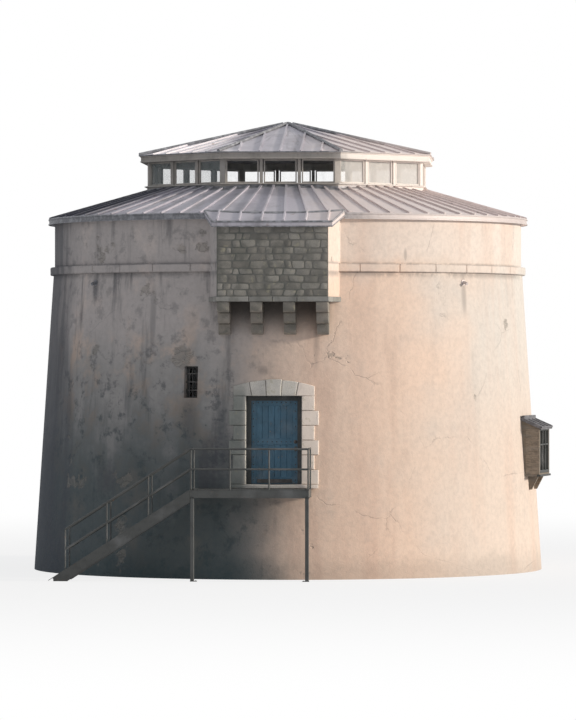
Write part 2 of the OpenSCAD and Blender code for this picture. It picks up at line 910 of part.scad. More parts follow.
module roof_seams() {
  color(metal_tone) {
    difference() {
      for (i = [0 : seam_n - 1]) at_azimuth((i + 0.5) * 360 / seam_n)
        across(seam_w) seam_side(curb_r, eave_r, roof_top(0), roof_slope);
      linear_extrude(far * 2) octagon(curb_r + bed);
    }
    difference() {
      for (i = [0 : apron_seams - 1])
        translate([i * apron_pitch - mach_hw, 0, 0])
          across(seam_w) seam_side(parapet_in_r, mach_y + apron_over, roof_top(0), roof_slope);
      cylinder(h = far * 2, r = eave_r + bed);
    }
  }
}

module upper_roof_seams() {
  hip_slope = upper_slope * oct;
  hip_l = (upper_r / oct - cap_r / 2) / cos(atan(hip_slope));
  color(metal_tone) translate([0, 0, upper_z]) difference() {
    union() {
      difference() {
        for (k = [0 : 7], j = [0 : upper_seams - 1])
          let (x = (j - (upper_seams - 1) / 2) * upper_pitch)
            at_azimuth(k * 45) translate([x, 0, 0]) across(seam_w)
              seam_side(max(abs(x) / tan(22.5), cap_r / 2), upper_r, upper_rise, upper_slope);
        for (k = [0 : 7]) at_azimuth(k * 45 + 22.5)
          translate([-hip_r - bed, -far, -far]) cube([2 * (hip_r + bed), far, far * 2]);
      }
      for (k = [0 : 7]) at_azimuth(k * 45 + 22.5) translate([0, -upper_r / oct, 0])
        rotate([atan(hip_slope) - 90, 0, 0]) cylinder(h = hip_l, r = hip_r);
    }
    translate([0, 0, bed]) upper_pyramid();
    translate([0, 0, -far]) cylinder(h = far + bed, r = far);
    cylinder(h = far, r = cap_r + bed);
  }
}

module stair_landing() {
  w = landing_left + landing_right;
  color(dark_tone) difference() {
    translate([-landing_left, -landing_y, 0]) {
      translate([0, 0, sill_z - deck_t]) cube([w, landing_y, deck_t]);
      translate([0, 0, sill_z - deck_t - beam_d]) cube([w, leg_w, beam_d]);
      for (x = [0, w - leg_w]) translate([x, 0, 0]) {
        cube([leg_w, leg_w, sill_z - deck_t]);
        translate([0, 0, sill_z - deck_t - beam_d]) cube([leg_w, landing_y, beam_d]);
      }
    }
    drum_solid(bed);
  }
}

module stair_treads() {
  color(dark_tone) for (i = [1 : riser_n - 1])
    translate([-landing_left - i * going, -landing_y + stringer_t + bed, sill_z - i * riser - tread_t])
      cube([going + (i == 1 ? -bed : tread_lap), stair_w - 2 * bed, tread_t]);
}

// Side of a stringer, its upper edge on the line of the nosings
module stringer_outline() {
  polygon([
    [-landing_left - bed, sill_z], [-landing_left - bed, sill_z - stringer_d],
    [-landing_left - (sill_z - stringer_d) / nosing_slope, 0],
    [flight_foot - going / 2, 0], [flight_foot - going / 2, riser / 2]]);
}

module stair_stringers() {
  color(dark_tone) for (y = [landing_y - stringer_t, flight_y])
    outward(y, y + stringer_t) stringer_outline();
}

// Posts of a rail over a length, with their feet on a slope
module rail_posts(length, rise, first, last) {
  n = bays(length);
  for (i = [first : n + last])
    translate([i * length / n, 0, i * rise / n]) cylinder(h = rail_h, r = rail_post_r);
}

// Handrail and knee rail over a length
module rail_bars(length, rise) {
  for (z = [rail_h / 2, rail_h]) translate([0, 0, z]) rotate([0, 90 - atan(rise / length), 0])
    cylinder(h = sqrt(length * length + rise * rise), r = rail_r);
}

module landing_rails() {
  front = landing_left + landing_right - 2 * rail_in;
  side = landing_y - flight_y - rail_in;
  color(dark_tone) translate([0, 0, sill_z + bed]) {
    translate([rail_in - landing_left, rail_in - landing_y, 0]) {
      rail_posts(front, 0, 0, -1);
      rail_bars(front - rail_r, 0);
    }
    translate([landing_right - rail_in, rail_in - landing_y, 0]) rotate([0, 0, 90]) {
      rail_posts(side, 0, 0, 0);
      rail_bars(side, 0);
    }
    translate([rail_in - landing_left, -flight_y - rail_in, 0]) cylinder(h = rail_h, r = rail_post_r);
  }
}

// The flight's rails run up to the landing's posts, their own posts cut to the stringers' slope
module flight_rails() {
  length = flight_l - going / 2;
  foot = rail_post_r * nosing_slope;
  color(dark_tone) for (y = [landing_y - rail_in, flight_y + rail_in]) difference() {
    translate([-landing_left - length, -y, sill_z - length * nosing_slope]) {
      translate([0, 0, -foot]) rail_posts(length, length * nosing_slope, 0, -1);
      rail_bars(length + stringer_t, (length + stringer_t) * nosing_slope);
    }
    translate([0, 0, bed]) outward(y - stringer_t, y + stringer_t) stringer_outline();
    translate([-landing_left - bed, -y - stringer_t, 0]) cube([far, 2 * stringer_t, far]);
  }
}

wall_under_door();
wall_over_door();
wall_beside_door(-1);  // wall_door_left
wall_beside_door(1);  // wall_door_right
for (s = [0, 1], i = [1 : seg_n])
  wall_segment(s * 2 - 1, i);
string_course();
for (s = [0, 1], i = [1 : parapet_n])
  parapet(s * 2 - 1, i);
machicolation_corbels();
machicolation_ledge();
machicolation_box();
ground_floor();
first_floor();
gun_platform_vault();
door_surround();
door_sill();
door_frame();
door_pins();
door_leaf();
door_ironwork();
slot_window_frames();
window_glass();
side_window_box();
side_window_hood();
lower_roof();
machicolation_roof();
lantern_curb();
lantern_posts();
lantern_glass();
lantern_beam();
upper_roof();
roof_cap();
roof_seams();
upper_roof_seams();
stair_landing();
stair_treads();
stair_stringers();
landing_rails();
flight_rails();
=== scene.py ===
import itertools
import math
from functools import partial

import bmesh
import bpy
from mathutils import Matrix, Vector, noise


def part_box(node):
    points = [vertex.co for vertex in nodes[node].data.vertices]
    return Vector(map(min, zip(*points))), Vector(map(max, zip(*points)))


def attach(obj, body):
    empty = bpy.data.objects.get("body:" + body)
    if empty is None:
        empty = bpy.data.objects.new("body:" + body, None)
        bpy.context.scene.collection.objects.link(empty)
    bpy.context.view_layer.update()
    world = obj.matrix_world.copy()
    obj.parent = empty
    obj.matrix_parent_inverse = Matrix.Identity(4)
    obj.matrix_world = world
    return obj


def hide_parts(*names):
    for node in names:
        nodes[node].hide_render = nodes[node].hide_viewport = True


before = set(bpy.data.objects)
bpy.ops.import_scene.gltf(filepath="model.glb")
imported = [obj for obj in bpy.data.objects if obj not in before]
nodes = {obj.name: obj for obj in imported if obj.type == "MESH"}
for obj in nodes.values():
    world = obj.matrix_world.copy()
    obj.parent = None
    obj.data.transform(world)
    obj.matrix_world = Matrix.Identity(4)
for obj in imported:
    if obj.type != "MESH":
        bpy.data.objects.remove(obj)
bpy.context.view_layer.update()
scene = bpy.context.scene
scene.view_settings.view_transform = "Standard"
print("frame:", len(nodes), "nodes")

# The wall's shape, as the solids have it, in metres
wall = {"footRadius": 6.33, "topRadius": 5.85, "drumHeight": 7.3}


def faceRadius(z):
    return wall["footRadius"] - z * (wall["footRadius"] - wall["topRadius"]) / wall["drumHeight"]


def around(azimuth, radius, z):  # azimuth in degrees from the door, positive to the right
    a = math.radians(azimuth)
    return Vector((radius * math.sin(a), -radius * math.cos(a), z))


# Sockets and node trees

class Socket:
    def __init__(self, graph, end):
        self.graph = graph
        self.end = end

    def math(self, operation, *others):
        return self.graph.math(operation, self, *others)

    def __add__(self, other):
        return self.math("ADD", other)

    def __radd__(self, other):
        return self.math("ADD", other)

    def __sub__(self, other):
        return self.math("SUBTRACT", other)

    def __rsub__(self, other):
        return self.graph.math("SUBTRACT", other, self)

    def __mul__(self, other):
        return self.math("MULTIPLY", other)

    def __truediv__(self, other):
        return self.math("DIVIDE", other)

    def __rtruediv__(self, other):
        return self.graph.math("DIVIDE", other, self)


class Graph:
    def __init__(self, tree):
        self.tree = tree

    def add(self, kind, sockets=(), out=0, **settings):
        node = self.tree.nodes.new(kind)
        for name, value in settings.items():
            setattr(node, name, value)
        pairs = sockets.items() if isinstance(sockets, dict) else enumerate(sockets)
        for name, value in pairs:
            end = node.inputs[name]
            if isinstance(value, Socket):
                self.tree.links.new(value.end, end)
            elif end.type == "RGBA" and len(value) == 3:
                end.default_value = (*value, 1)
            else:
                end.default_value = value
        return Socket(self, node.outputs[out]) if node.outputs else node

    def math(self, operation, *values):
        return self.add("ShaderNodeMath", values, operation=operation)

    def place(self):
        return self.add("ShaderNodeTexCoord", out="Object")

    def split(self, vector):
        node = self.add("ShaderNodeSeparateXYZ", (vector,)).end.node
        return [Socket(self, end) for end in node.outputs]

    def vector(self, operation, *values):
        return self.add("ShaderNodeVectorMath", values, operation=operation)

    def length(self, vector):
        return self.add("ShaderNodeVectorMath", (vector,), "Value", operation="LENGTH")

    def ray(self, kind):  # 1 for rays of a kind, such as Is Camera Ray
        return self.add("ShaderNodeLightPath", out=kind)

    def angle(self, x, y):  # azimuth from the door in radians, positive to the right
        return self.math("ARCTAN2", x, y * -1)

    def join(self, x, y, z):
        return self.add("ShaderNodeCombineXYZ", (x, y, z))

    def noise(self, place, scale, detail=3.0, rough=0.5):
        return self.add("ShaderNodeTexNoise",
                        {"Vector": place, "Scale": scale, "Detail": detail, "Roughness": rough})

    def cells(self, place, scale, feature="F1", out="Distance"):
        return self.add("ShaderNodeTexVoronoi", {"Vector": place, "Scale": scale}, out, feature=feature)

    def sweep(self, value, low, high):  # 0 at low and 1 at high, eased between
        return self.add("ShaderNodeMapRange", {"Value": value, "From Min": low, "From Max": high},
                        interpolation_type="SMOOTHSTEP")

    def mix(self, mask, low, high):
        return self.add("ShaderNodeMix", {0: mask, 6: low, 7: high}, 2, data_type="RGBA")

    def coats(self, colour, layers):  # each layer: how much of it shows, and its tone
        for mask, tone in layers:
            colour = self.mix(mask, colour, tone)
        return colour

    def attribute(self, name):
        return self.add("ShaderNodeAttribute", out="Fac", attribute_name=name)

    def chance(self, value):  # a fixed random number for each whole number
        return self.add("ShaderNodeTexWhiteNoise", {"W": value}, noise_dimensions="1D")

    def bump(self, height):  # height in metres
        return self.add("ShaderNodeBump", {"Strength": 1.0, "Distance": 1.0, "Height": height})


def shade(tone, factor):  # a tone made darker or lighter
    return tuple(min(1, c * factor) for c in tone)


def startMaterial(name):
    material = bpy.data.materials.new(name)
    material.use_nodes = True
    material.node_tree.nodes.clear()
    return material, Graph(material.node_tree)


def endMaterial(graph, sockets):
    shader = graph.add("ShaderNodeBsdfPrincipled", sockets)
    graph.add("ShaderNodeOutputMaterial", {"Surface": shader})


# Materials

coat = {"lime": (0.88, 0.69, 0.565), "pale": (0.74, 0.695, 0.64), "fresh": (0.88, 0.78, 0.70),
        "rose": (0.70, 0.49, 0.385), "grey": (0.435, 0.425, 0.415), "sootAndShade": (0.100, 0.105, 0.115),
        "algae": (0.068, 0.098, 0.105), "mortar": (0.36, 0.34, 0.30), "moss": (0.128, 0.146, 0.128),
        "dove": (0.60, 0.55, 0.525), "clay": (0.80, 0.605, 0.475), "shadeSlate": (0.082, 0.092, 0.108),
        "slotShadeTone": (0.045, 0.042, 0.040), "earth": (0.20, 0.19, 0.17), "bed": (0.20, 0.20, 0.18)}

# Local dark patches: azimuth and height of the middle, half width and half height in metres, and strength
darkPatches = [(-12.0, 3.35, 0.26, 1.20, 0.9), (-14.0, 2.55, 0.34, 0.80, 0.75), (-2.6, 4.95, 0.14, 0.16, 0.5),
          (-42.4, 2.35, 0.42, 0.50, 0.7), (-49.3, 6.95, 0.15, 0.42, 0.8), (49.3, 6.75, 0.10, 0.55, 0.35),
          (-19.4, 3.70, 0.18, 0.60, 0.4), (32.0, 7.72, 0.05, 0.16, 0.35), (9.6, 5.60, 0.09, 0.75, 0.4),
          (-66.0, 5.4, 0.45, 1.3, 0.4), (-30.0, 6.2, 0.10, 0.9, 0.35), (131.0, 6.75, 0.10, 0.55, 0.4),
          (-131.0, 6.75, 0.12, 0.60, 0.4), (124.0, 3.8, 0.16, 0.6, 0.35), (-124.0, 3.8, 0.18, 0.6, 0.4)]


def renderMaterial(name, fresh=1.0, bare=False):
    material, graph = startMaterial(name)
    place = graph.place()
    x, y, z = graph.split(place)
    azimuth = graph.angle(x, y)
    tall = graph.vector("MULTIPLY", place, (1, 1, 0.11))
    broad = graph.noise(place, 0.32, 3, 0.55)
    middle = graph.noise(place, 1.3, 6, 0.62)
    fine = graph.noise(place, 9.0, 6, 0.65)
    streak = graph.noise(tall, 2.6, 6, 0.6)
    wide = graph.noise(tall, 0.9, 4, 0.55)
    weatherAndPaintedShade = graph.sweep(x + (broad - 0.5) * 3, 1.2, -1.6)  # the side away from the sun: weathering there, with painted shade

    colour = graph.mix(graph.sweep(x + (broad - 0.5) * 6, 2.2, 5.4), coat["lime"], coat["pale"])
    blush = graph.sweep(azimuth, -0.12, 0.10) * graph.sweep(azimuth, 0.66, 0.38) * graph.sweep(z, 7.2, 4.4)
    faded = graph.sweep(middle + (wide - 0.5) * 0.6, 0.24, 0.48)
    layers = [
        (graph.sweep(z + (wide - 0.5) * 2, 7.1, 7.7) * 0.7, coat["fresh"]),
        (graph.sweep(z + (wide - 0.5) * 3, 6.4, 2.4) * 0.45, coat["clay"]),
        (graph.sweep(wide, 0.46, 0.66) * (1 - weatherAndPaintedShade) * 0.30 * fresh, coat["rose"]),
        (blush * graph.sweep(streak, 0.40, 0.68) * 0.40 * fresh, coat["rose"]),
        (graph.sweep(middle, 0.52, 0.76) * 0.16, coat["grey"]),
        # Away from the sun the render is greyer, partly weathering and partly painted shade, with the dove
        # coat higher up
        (weatherAndPaintedShade * faded * 0.93, coat["grey"]),
        (weatherAndPaintedShade * graph.sweep(z + (wide - 0.5) * 1.5, 5.0, 6.2) * 0.75, coat["dove"])]

    # Water runs under each course that stands out, and a painted shadow line under the string course with
    # painted shade along its top
    runs = graph.sweep(z, 5.6, 7.3) * graph.sweep(z, 7.32, 7.28) + graph.sweep(z, 7.9, 8.65) * 0.7
    line = graph.sweep(z, 7.13, 7.27) * graph.sweep(z, 7.34, 7.28)
    line = line + graph.sweep(z, 7.56, 7.49) * graph.sweep(z, 7.46, 7.50)
    blotch = graph.noise(place, 2.4, 8, 0.7)
    aged = 0.30 + graph.sweep(z + (wide - 0.5) * 3, 6.2, 3.6) * 0.42
    layers += [
        (runs * graph.sweep(streak, 0.52, 0.68) * (0.07 + weatherAndPaintedShade * 0.45), coat["sootAndShade"]),
        (line * graph.sweep(wide + (fine - 0.5) * 0.5, 0.30, 0.55) * 0.42, coat["sootAndShade"]),
        (graph.sweep(streak, 0.56, 0.74) * (0.07 + weatherAndPaintedShade * 0.50), coat["sootAndShade"]),
        (graph.sweep(blotch, 0.52, 0.64) * (0.03 + weatherAndPaintedShade * aged), coat["sootAndShade"])]

    # Growth from the foot, heaviest on the side away from the sun, and painted shade at the far left of the
    # front and behind the corbels
    climb = graph.sweep(z + (middle - 0.5) * 4.0 + (wide - 0.5) * 5.0, 5.9, 1.6)
    foot = graph.sweep(z + (middle - 0.5) * 1.2, 0.75, 0.05)
    paintedEdgeShade = graph.sweep(x + (streak - 0.5) * 1.2, -4.85, -5.7) * graph.sweep(y, 3.2, 0.2)
    # Painted shade on the wall between the corbels, under the box
    slotShade = graph.sweep(z, 5.75, 6.45) * graph.sweep(azimuth.math("ABSOLUTE"), 0.245, 0.20)
    slotShade = slotShade * graph.sweep(y, -5.5, -5.6)
    layers += [
        (climb * weatherAndPaintedShade * 0.88, coat["algae"]),
        (foot * (0.22 + weatherAndPaintedShade * 0.5), coat["algae"]),
        (paintedEdgeShade * 0.82, coat["shadeSlate"]),
        (slotShade * graph.sweep(z, 6.72, 6.62) * 0.8, coat["slotShadeTone"])]

    for angle, height, halfWidth, halfHeight, depth in darkPatches:
        across = (azimuth - math.radians(angle)) * (faceRadius(height) / halfWidth)
        along = (z - height) / halfHeight
        ragged = across * across + along * along + (streak - 0.5) * 3.6 + (fine - 0.5) * 1.6
        layers.append((graph.sweep(ragged, 1.3, -0.2) * depth, coat["sootAndShade"]))

    # Patches where the coat has gone and the rubble shows
    wander = graph.add("ShaderNodeTexNoise", {"Vector": place, "Scale": 3.4, "Detail": 1.0}, "Color")
    bent = graph.vector("MULTIPLY", wander, (0.10, 0.10, 0.10))
    bent = graph.vector("ADD", graph.vector("MULTIPLY", place, (1, 1, 1.9)), bent)
    edge = graph.cells(bent, 3.6, "DISTANCE_TO_EDGE")
    tint = graph.cells(bent, 3.6, "F1", "Color")
    joint = graph.sweep(edge + (fine - 0.5) * 0.08, 0.085, 0.03)
    rubble = graph.coats(graph.mix(tint, (0.17, 0.165, 0.155), (0.42, 0.375, 0.315)), [
        (graph.sweep(fine, 0.40, 0.66) * 0.35, coat["earth"]), (joint * 0.8, coat["mortar"])])
    lost = graph.sweep(graph.noise(place, 0.62, 5, 0.6) + weatherAndPaintedShade * 0.06, 0.680, 0.708)
    layers.append((lost * 0.5, rubble))
    if bare:  # the bed of the rubble at the box's front
        bed = graph.sweep(y * -1, 6.56, 6.60)
        layers += [(bed * 0.94, coat["bed"]), (bed * graph.sweep(streak, 0.40, 0.66) * 0.6, coat["moss"])]
    web = graph.cells(graph.vector("ADD", place, graph.join(middle, wide, broad)), 0.34, "DISTANCE_TO_EDGE")
    crack = graph.sweep(web, 0.006, 0.001) * graph.sweep(middle, 0.46, 0.62)
    layers += [(graph.sweep(fine, 0.35, 0.70) * 0.14, coat["earth"]), (crack * 0.18, coat["sootAndShade"])]
    colour = graph.coats(colour, layers)
    height = middle * 0.020 + fine * 0.006 + graph.noise(place, 42, 4, 0.6) * 0.0035 + broad * 0.03
    height = height - crack * 0.006 - lost * (0.022 - (1 - joint) * 0.020 * (0.7 + tint * 0.3))
    endMaterial(graph, {"Base Color": colour, "Roughness": 0.80 + fine * 0.18,
                        "Specular IOR Level": 0.25, "Normal": graph.bump(height)})
    return material


def graniteMaterial(name, tone=(0.52, 0.50, 0.455), growth=0.25, even=0.55, jambLightAndShade=False):
    material, graph = startMaterial(name)
    place = graph.place()
    x, y, z = graph.split(place)
    each = graph.attribute("tone")
    cloud = graph.noise(place, 2.4, 5, 0.6)
    speck = graph.noise(place, 120, 2, 0.5)
    flake = graph.cells(place, 95)
    colour = graph.mix(each, shade(tone, 0.62), shade(tone, 1.28))
    colour = graph.coats(colour, [
        (even, tone),
        (graph.sweep(speck, 0.42, 0.66) * 0.45, shade(tone, 0.45)),
        (graph.sweep(flake, 0.30, 0.12) * 0.30, shade(tone, 1.5))])
    # The side away from the sun is darker with growth and with painted shade
    weatherAndPaintedShade = graph.sweep(x + (cloud - 0.5) * 4, 2.0, -3.0)
    stain = graph.sweep(cloud, 0.44, 0.62)
    colour = graph.mix(stain * (growth + weatherAndPaintedShade * 0.45), colour, (0.16, 0.16, 0.14))
    if jambLightAndShade:  # painted light: the right jamb is painted pale as if sunlit, the left one painted dark as shade, with a green damp tint
        pale = graph.sweep(x + (cloud - 0.5) * 0.5, 0.45, 0.62)
        colour = graph.mix(pale * 0.85, colour, (0.92, 0.81, 0.72))
        shadeAndDamp = graph.sweep(x + (cloud - 0.5) * 0.35, -0.60, -0.78)
        shadeAndDamp = shadeAndDamp * graph.sweep(z + (cloud - 0.5) * 0.8, 4.75, 4.25)
        colour = graph.mix(shadeAndDamp * 0.62, colour, (0.12, 0.155, 0.145))
    lichen = graph.sweep(graph.noise(place, 7.5, 4, 0.6), 0.60, 0.66)
    colour = graph.mix(lichen * 0.35, colour, (0.46, 0.43, 0.30))
    height = speck * 0.0016 + graph.noise(place, 26, 4, 0.6) * 0.005 + cloud * 0.008
    endMaterial(graph, {"Base Color": colour, "Roughness": 0.68 + speck * 0.28,
                        "Specular IOR Level": 0.35, "Normal": graph.bump(height)})
    return material


sheet = {"plain": (0.54, 0.52, 0.575), "light": (0.66, 0.64, 0.685), "dull": (0.34, 0.33, 0.365),
         "stain": (0.155, 0.15, 0.15), "shadeSlate": (0.080, 0.085, 0.110), "blush": (0.92, 0.80, 0.745),
         "paintedReflection": (0.90, 0.87, 0.89), "metallic": 0.25, "panel": 5.0, "apronLane": 0.524,
         "upperLane": 0.5}


def roofMaterial(name, lane):
    material, graph = startMaterial(name)
    place = graph.place()
    x, y, z = graph.split(place)
    radius = graph.length(graph.join(x, y, 0.0))
    angle = graph.angle(x, y)
    if lane == "radial":  # one tone for each sheet between two seams
        number = angle / math.radians(sheet["panel"]) + 0.5
        number = number.math("FLOOR").math("FLOORED_MODULO", 360 / sheet["panel"])
    elif lane == "across":
        number = (x / sheet["apronLane"] + 0.5).math("FLOOR")
    else:
        side = (angle / math.radians(45) + 0.5).math("FLOOR")
        turn = angle - side * math.radians(45)
        number = (radius * turn.math("SINE") / sheet["upperLane"] + 0.5).math("FLOOR") + side * 17
    each = graph.chance(number)
    far = graph.join(x / radius * 7.0, y / radius * 7.0, radius * 0.35)
    streak = graph.noise(far, 2.2, 5, 0.6)
    patch = graph.noise(place, 0.9, 5, 0.6)
    grain = graph.noise(place, 24, 4, 0.6)
    colour = graph.mix(each * 0.75, sheet["plain"], sheet["light"])
    colour = graph.coats(colour, [
        (graph.sweep(patch, 0.44, 0.66) * 0.55, sheet["dull"]),
        (graph.sweep(streak, 0.52, 0.70) * 0.42, sheet["stain"]),
        (graph.sweep(streak, 0.42, 0.28) * 0.35, sheet["light"]),
        (graph.sweep(grain, 0.50, 0.72) * 0.25, sheet["dull"])])
    # Painted sunlight makes the sunny side paler, and painted shade darkens the far side
    paintedSunlight = graph.sweep(x + (patch - 0.5) * 1.5, 0.2, 1.8)
    colour = graph.mix(paintedSunlight * 0.68, colour, sheet["blush"])
    metal = sheet["metallic"]
    if lane == "side":  # painted reflection: the sheets that face away from the sun are painted brightest, with more metal
        paintedReflection = graph.sweep(x + (patch - 0.5) * 0.8, -0.7, -1.5) * graph.sweep(y, 1.5, -0.5)
        colour = graph.mix(paintedReflection * 0.7, colour, sheet["paintedReflection"])
        metal = sheet["metallic"] + paintedReflection * 0.20
    if lane == "radial":
        # Painted shade on the far left of the front
        paintedFarShade = graph.sweep(angle + (patch - 0.5) * 0.3, -0.74, -1.02) * graph.sweep(y, 3.2, 0.2)
        colour = graph.mix(paintedFarShade * 0.90, colour, sheet["shadeSlate"])
    rust = graph.sweep(graph.noise(place, 3.2, 6, 0.7), 0.63, 0.70)
    colour = graph.mix(rust * 0.5, colour, (0.23, 0.135, 0.085))
    height = patch * 0.012 + grain * 0.0010 + graph.noise(place, 5.0, 2, 0.5) * 0.006
    endMaterial(graph, {"Base Color": colour, "Metallic": metal, "Roughness": 0.50 + patch * 0.25,
                        "Normal": graph.bump(height)})
    return material


def paintMaterial(name, paint, under=(0.20, 0.15, 0.11), wear=0.5, gloss=0.45, metal=False, paintedSunTone=None):
    material, graph = startMaterial(name)
    place = graph.place()
    grain = graph.noise(graph.vector("MULTIPLY", place, (1, 1, 0.12)), 60 if metal else 38, 6, 0.6)
    cloud = graph.noise(place, 3.4, 5, 0.6)
    chip = graph.noise(place, 17, 8, 0.72)
    each = graph.attribute("tone")
    colour = graph.mix(each * 0.5, paint, shade(paint, 1.55))
    colour = graph.mix(graph.sweep(cloud, 0.42, 0.68) * 0.5, colour, shade(paint, 0.55))
    colour = graph.mix(graph.sweep(grain, 0.52, 0.70) * 0.35, colour, shade(paint, 0.5))
    if paintedSunTone:  # painted sunlight: paler on the sunny side
        paintedSunlight = graph.sweep(graph.split(place)[0] + (cloud - 0.5) * 0.6, 1.2, 1.8)
        colour = graph.mix(paintedSunlight * 0.85, colour, paintedSunTone)
    gone = graph.sweep(chip + (cloud - 0.5) * 0.35, 0.68 - wear * 0.06, 0.72 - wear * 0.06)
    colour = graph.mix(gone * 0.8, colour, under)
    chalk = graph.sweep(graph.noise(place, 1.6, 3, 0.5), 0.5, 0.75)
    colour = graph.mix(chalk * 0.18, colour, (0.45, 0.46, 0.47))
    height = grain * (0.0004 if metal else 0.0016) - gone * 0.0007 + cloud * 0.0008
    endMaterial(graph, {"Base Color": colour, "Roughness": gloss + chip * 0.25 + gone * 0.25,
                        "Normal": graph.bump(height)})
    return material


def timberMaterial(name, tone=(0.36, 0.30, 0.235), axis="x"):
    material, graph = startMaterial(name)
    place = graph.place()
    stretch = {"x": (0.09, 1, 1), "y": (1, 0.09, 1)}  # the way that the grain runs
    along = graph.vector("MULTIPLY", place, stretch[axis])
    grain = graph.noise(along, 34, 8, 0.66)
    broad = graph.noise(along, 6, 3, 0.5)
    each = graph.attribute("tone")
    colour = graph.mix(each * 0.7, shade(tone, 0.68), shade(tone, 1.25))
    colour = graph.mix(graph.sweep(grain, 0.45, 0.62) * 0.6, colour, shade(tone, 0.42))
    colour = graph.mix(graph.sweep(broad, 0.5, 0.7) * 0.4, colour, (0.24, 0.235, 0.22))
    height = grain * 0.0025 + broad * 0.0015
    endMaterial(graph, {"Base Color": colour, "Roughness": 0.72 + grain * 0.2, "Normal": graph.bump(height)})
    return material


def ironMaterial(name, tone=(0.065, 0.063, 0.062), rust=0.4, gloss=0.42, metallic=0.55, paintedSunTone=None):
    material, graph = startMaterial(name)
    place = graph.place()
    cloud = graph.noise(place, 9, 5, 0.6)
    pit = graph.noise(place, 70, 5, 0.65)
    speck = graph.noise(place, 22, 8, 0.72)
    rusty = graph.sweep(speck + (cloud - 0.5) * 0.5, 0.66 - rust * 0.12, 0.74 - rust * 0.12)
    colour = graph.mix(graph.sweep(cloud, 0.4, 0.7), tone, shade(tone, 1.9))
    if paintedSunTone:  # painted sunlight, as for paint, but over a wider strip
        paintedSunlight = graph.sweep(graph.split(place)[0] + (cloud - 0.5) * 0.6, 1.0, 2.6)
        colour = graph.mix(paintedSunlight * 0.8, colour, paintedSunTone)
    colour = graph.mix(rusty * 0.85, colour, (0.20, 0.085, 0.035))
    height = pit * 0.0008 + speck * 0.0006
    endMaterial(graph, {"Base Color": colour, "Metallic": metallic - rusty * metallic,
                        "Roughness": gloss + pit * 0.25 + rusty * 0.3, "Normal": graph.bump(height)})
    return material


def glassMaterial(name):
    material, graph = startMaterial(name)
    place = graph.place()
    fresnel = graph.add("ShaderNodeFresnel", {"IOR": 1.45})
    salt = graph.sweep(graph.noise(place, 5.0, 6, 0.65), 0.46, 0.72)
    smear = graph.noise(graph.vector("MULTIPLY", place, (1, 1, 0.15)), 8, 4, 0.6)
    paintedGlare = graph.sweep(graph.split(place)[0] + (smear - 0.5) * 0.5, 1.2, 1.7)  # painted glare on the sunny side
    colour = graph.mix(salt, (0.50, 0.58, 0.58), (0.78, 0.80, 0.79))
    colour = graph.mix(paintedGlare, colour, (0.90, 0.88, 0.85))
    ripple = graph.noise(place, 2.2, 2, 0.5) * 0.0015
    cover = 0.01 + fresnel * 0.32 + salt * 0.04 + graph.sweep(smear, 0.5, 0.8) * 0.03
    endMaterial(graph, {"Base Color": colour, "Roughness": 0.05 + salt * 0.2 + paintedGlare * 0.4, "IOR": 1.45,
                        "Alpha": cover + paintedGlare * (0.30 + salt * 0.08), "Normal": graph.bump(ripple)})
    return material


mats = {
    "render": renderMaterial("weatheredRender"),
    "boxRender": renderMaterial("mossyRender", fresh=0.4, bare=True),
    "granite": graniteMaterial("tooledGranite"),
    "surround": graniteMaterial("surroundGranite", (0.72, 0.69, 0.63), 0.06, jambLightAndShade=True),
    "corbel": graniteMaterial("corbelGranite", (0.34, 0.31, 0.27), 0.45),
    "rubble": graniteMaterial("mossyRubbleStone", (0.33, 0.315, 0.28), 0.5, 0.1),
    "ledge": graniteMaterial("ledgeGranite", (0.36, 0.355, 0.33), 0.35),
    "roof": roofMaterial("seamedSheet", "radial"),
    "apron": roofMaterial("apronSheet", "across"),
    "upper": roofMaterial("upperSheet", "side"),
    "frame": paintMaterial("darkPaint", (0.045, 0.050, 0.050), wear=0.35),
    "lantern": paintMaterial("lanternPaint", (0.46, 0.43, 0.39), wear=0.5, gloss=0.55,
                             paintedSunTone=(0.95, 0.885, 0.835)),
    "door": paintMaterial("doorBlue", (0.062, 0.150, 0.225), (0.28, 0.23, 0.17), wear=0.7, gloss=0.38),
    "hood": ironMaterial("leadHood", (0.13, 0.13, 0.14), rust=0.05, gloss=0.5, metallic=0.3),
    "steel": paintMaterial("stairPaint", (0.075, 0.080, 0.078), (0.21, 0.10, 0.05), wear=0.6, gloss=0.42,
                           metal=True),
    "iron": ironMaterial("forgedIron"),
    "lead": ironMaterial("leadSheet", (0.20, 0.205, 0.22), rust=0.0, gloss=0.5, metallic=0.35,
                         paintedSunTone=(0.74, 0.66, 0.63)),
    "boards": timberMaterial("weatheredBoards"),
    "planks": timberMaterial("floorPlanks", (0.30, 0.22, 0.14)),
    "floor": timberMaterial("floorBoards", (0.34, 0.26, 0.17), "y"),
    "glass": glassMaterial("saltyGlass"),
}

dressing = {
    "render": ["wall_under_door", "wall_over_door", "wall_door_left", "wall_door_right"]
              + [f"wall_{side}_{i}" for side in ("left", "right") for i in (1, 2, 3, 4)]
              + [f"parapet_{side}_{i}" for side in ("left", "right") for i in (1, 2)],
    "boxRender": ["machicolation_box"],
    "corbel": ["machicolation_corbels"], "ledge": ["machicolation_ledge"],
    "granite": ["string_course", "ground_floor", "gun_platform_vault"],
    "surround": ["door_surround", "door_sill"],
    "roof": ["lower_roof", "roof_seams"], "apron": ["machicolation_roof"],
    "upper": ["upper_roof", "upper_roof_seams"],
    "planks": ["first_floor"], "boards": ["side_window_box"], "frame": ["door_frame", "slot_window_frames"],
    "door": ["door_leaf"], "iron": ["door_pins", "door_ironwork"], "hood": ["side_window_hood", "roof_cap"],
    "lantern": ["lantern_curb", "lantern_posts", "lantern_beam"], "glass": ["window_glass", "lantern_glass"],
    "steel": ["stair_landing", "stair_treads", "stair_stringers", "landing_rails", "flight_rails"],
}
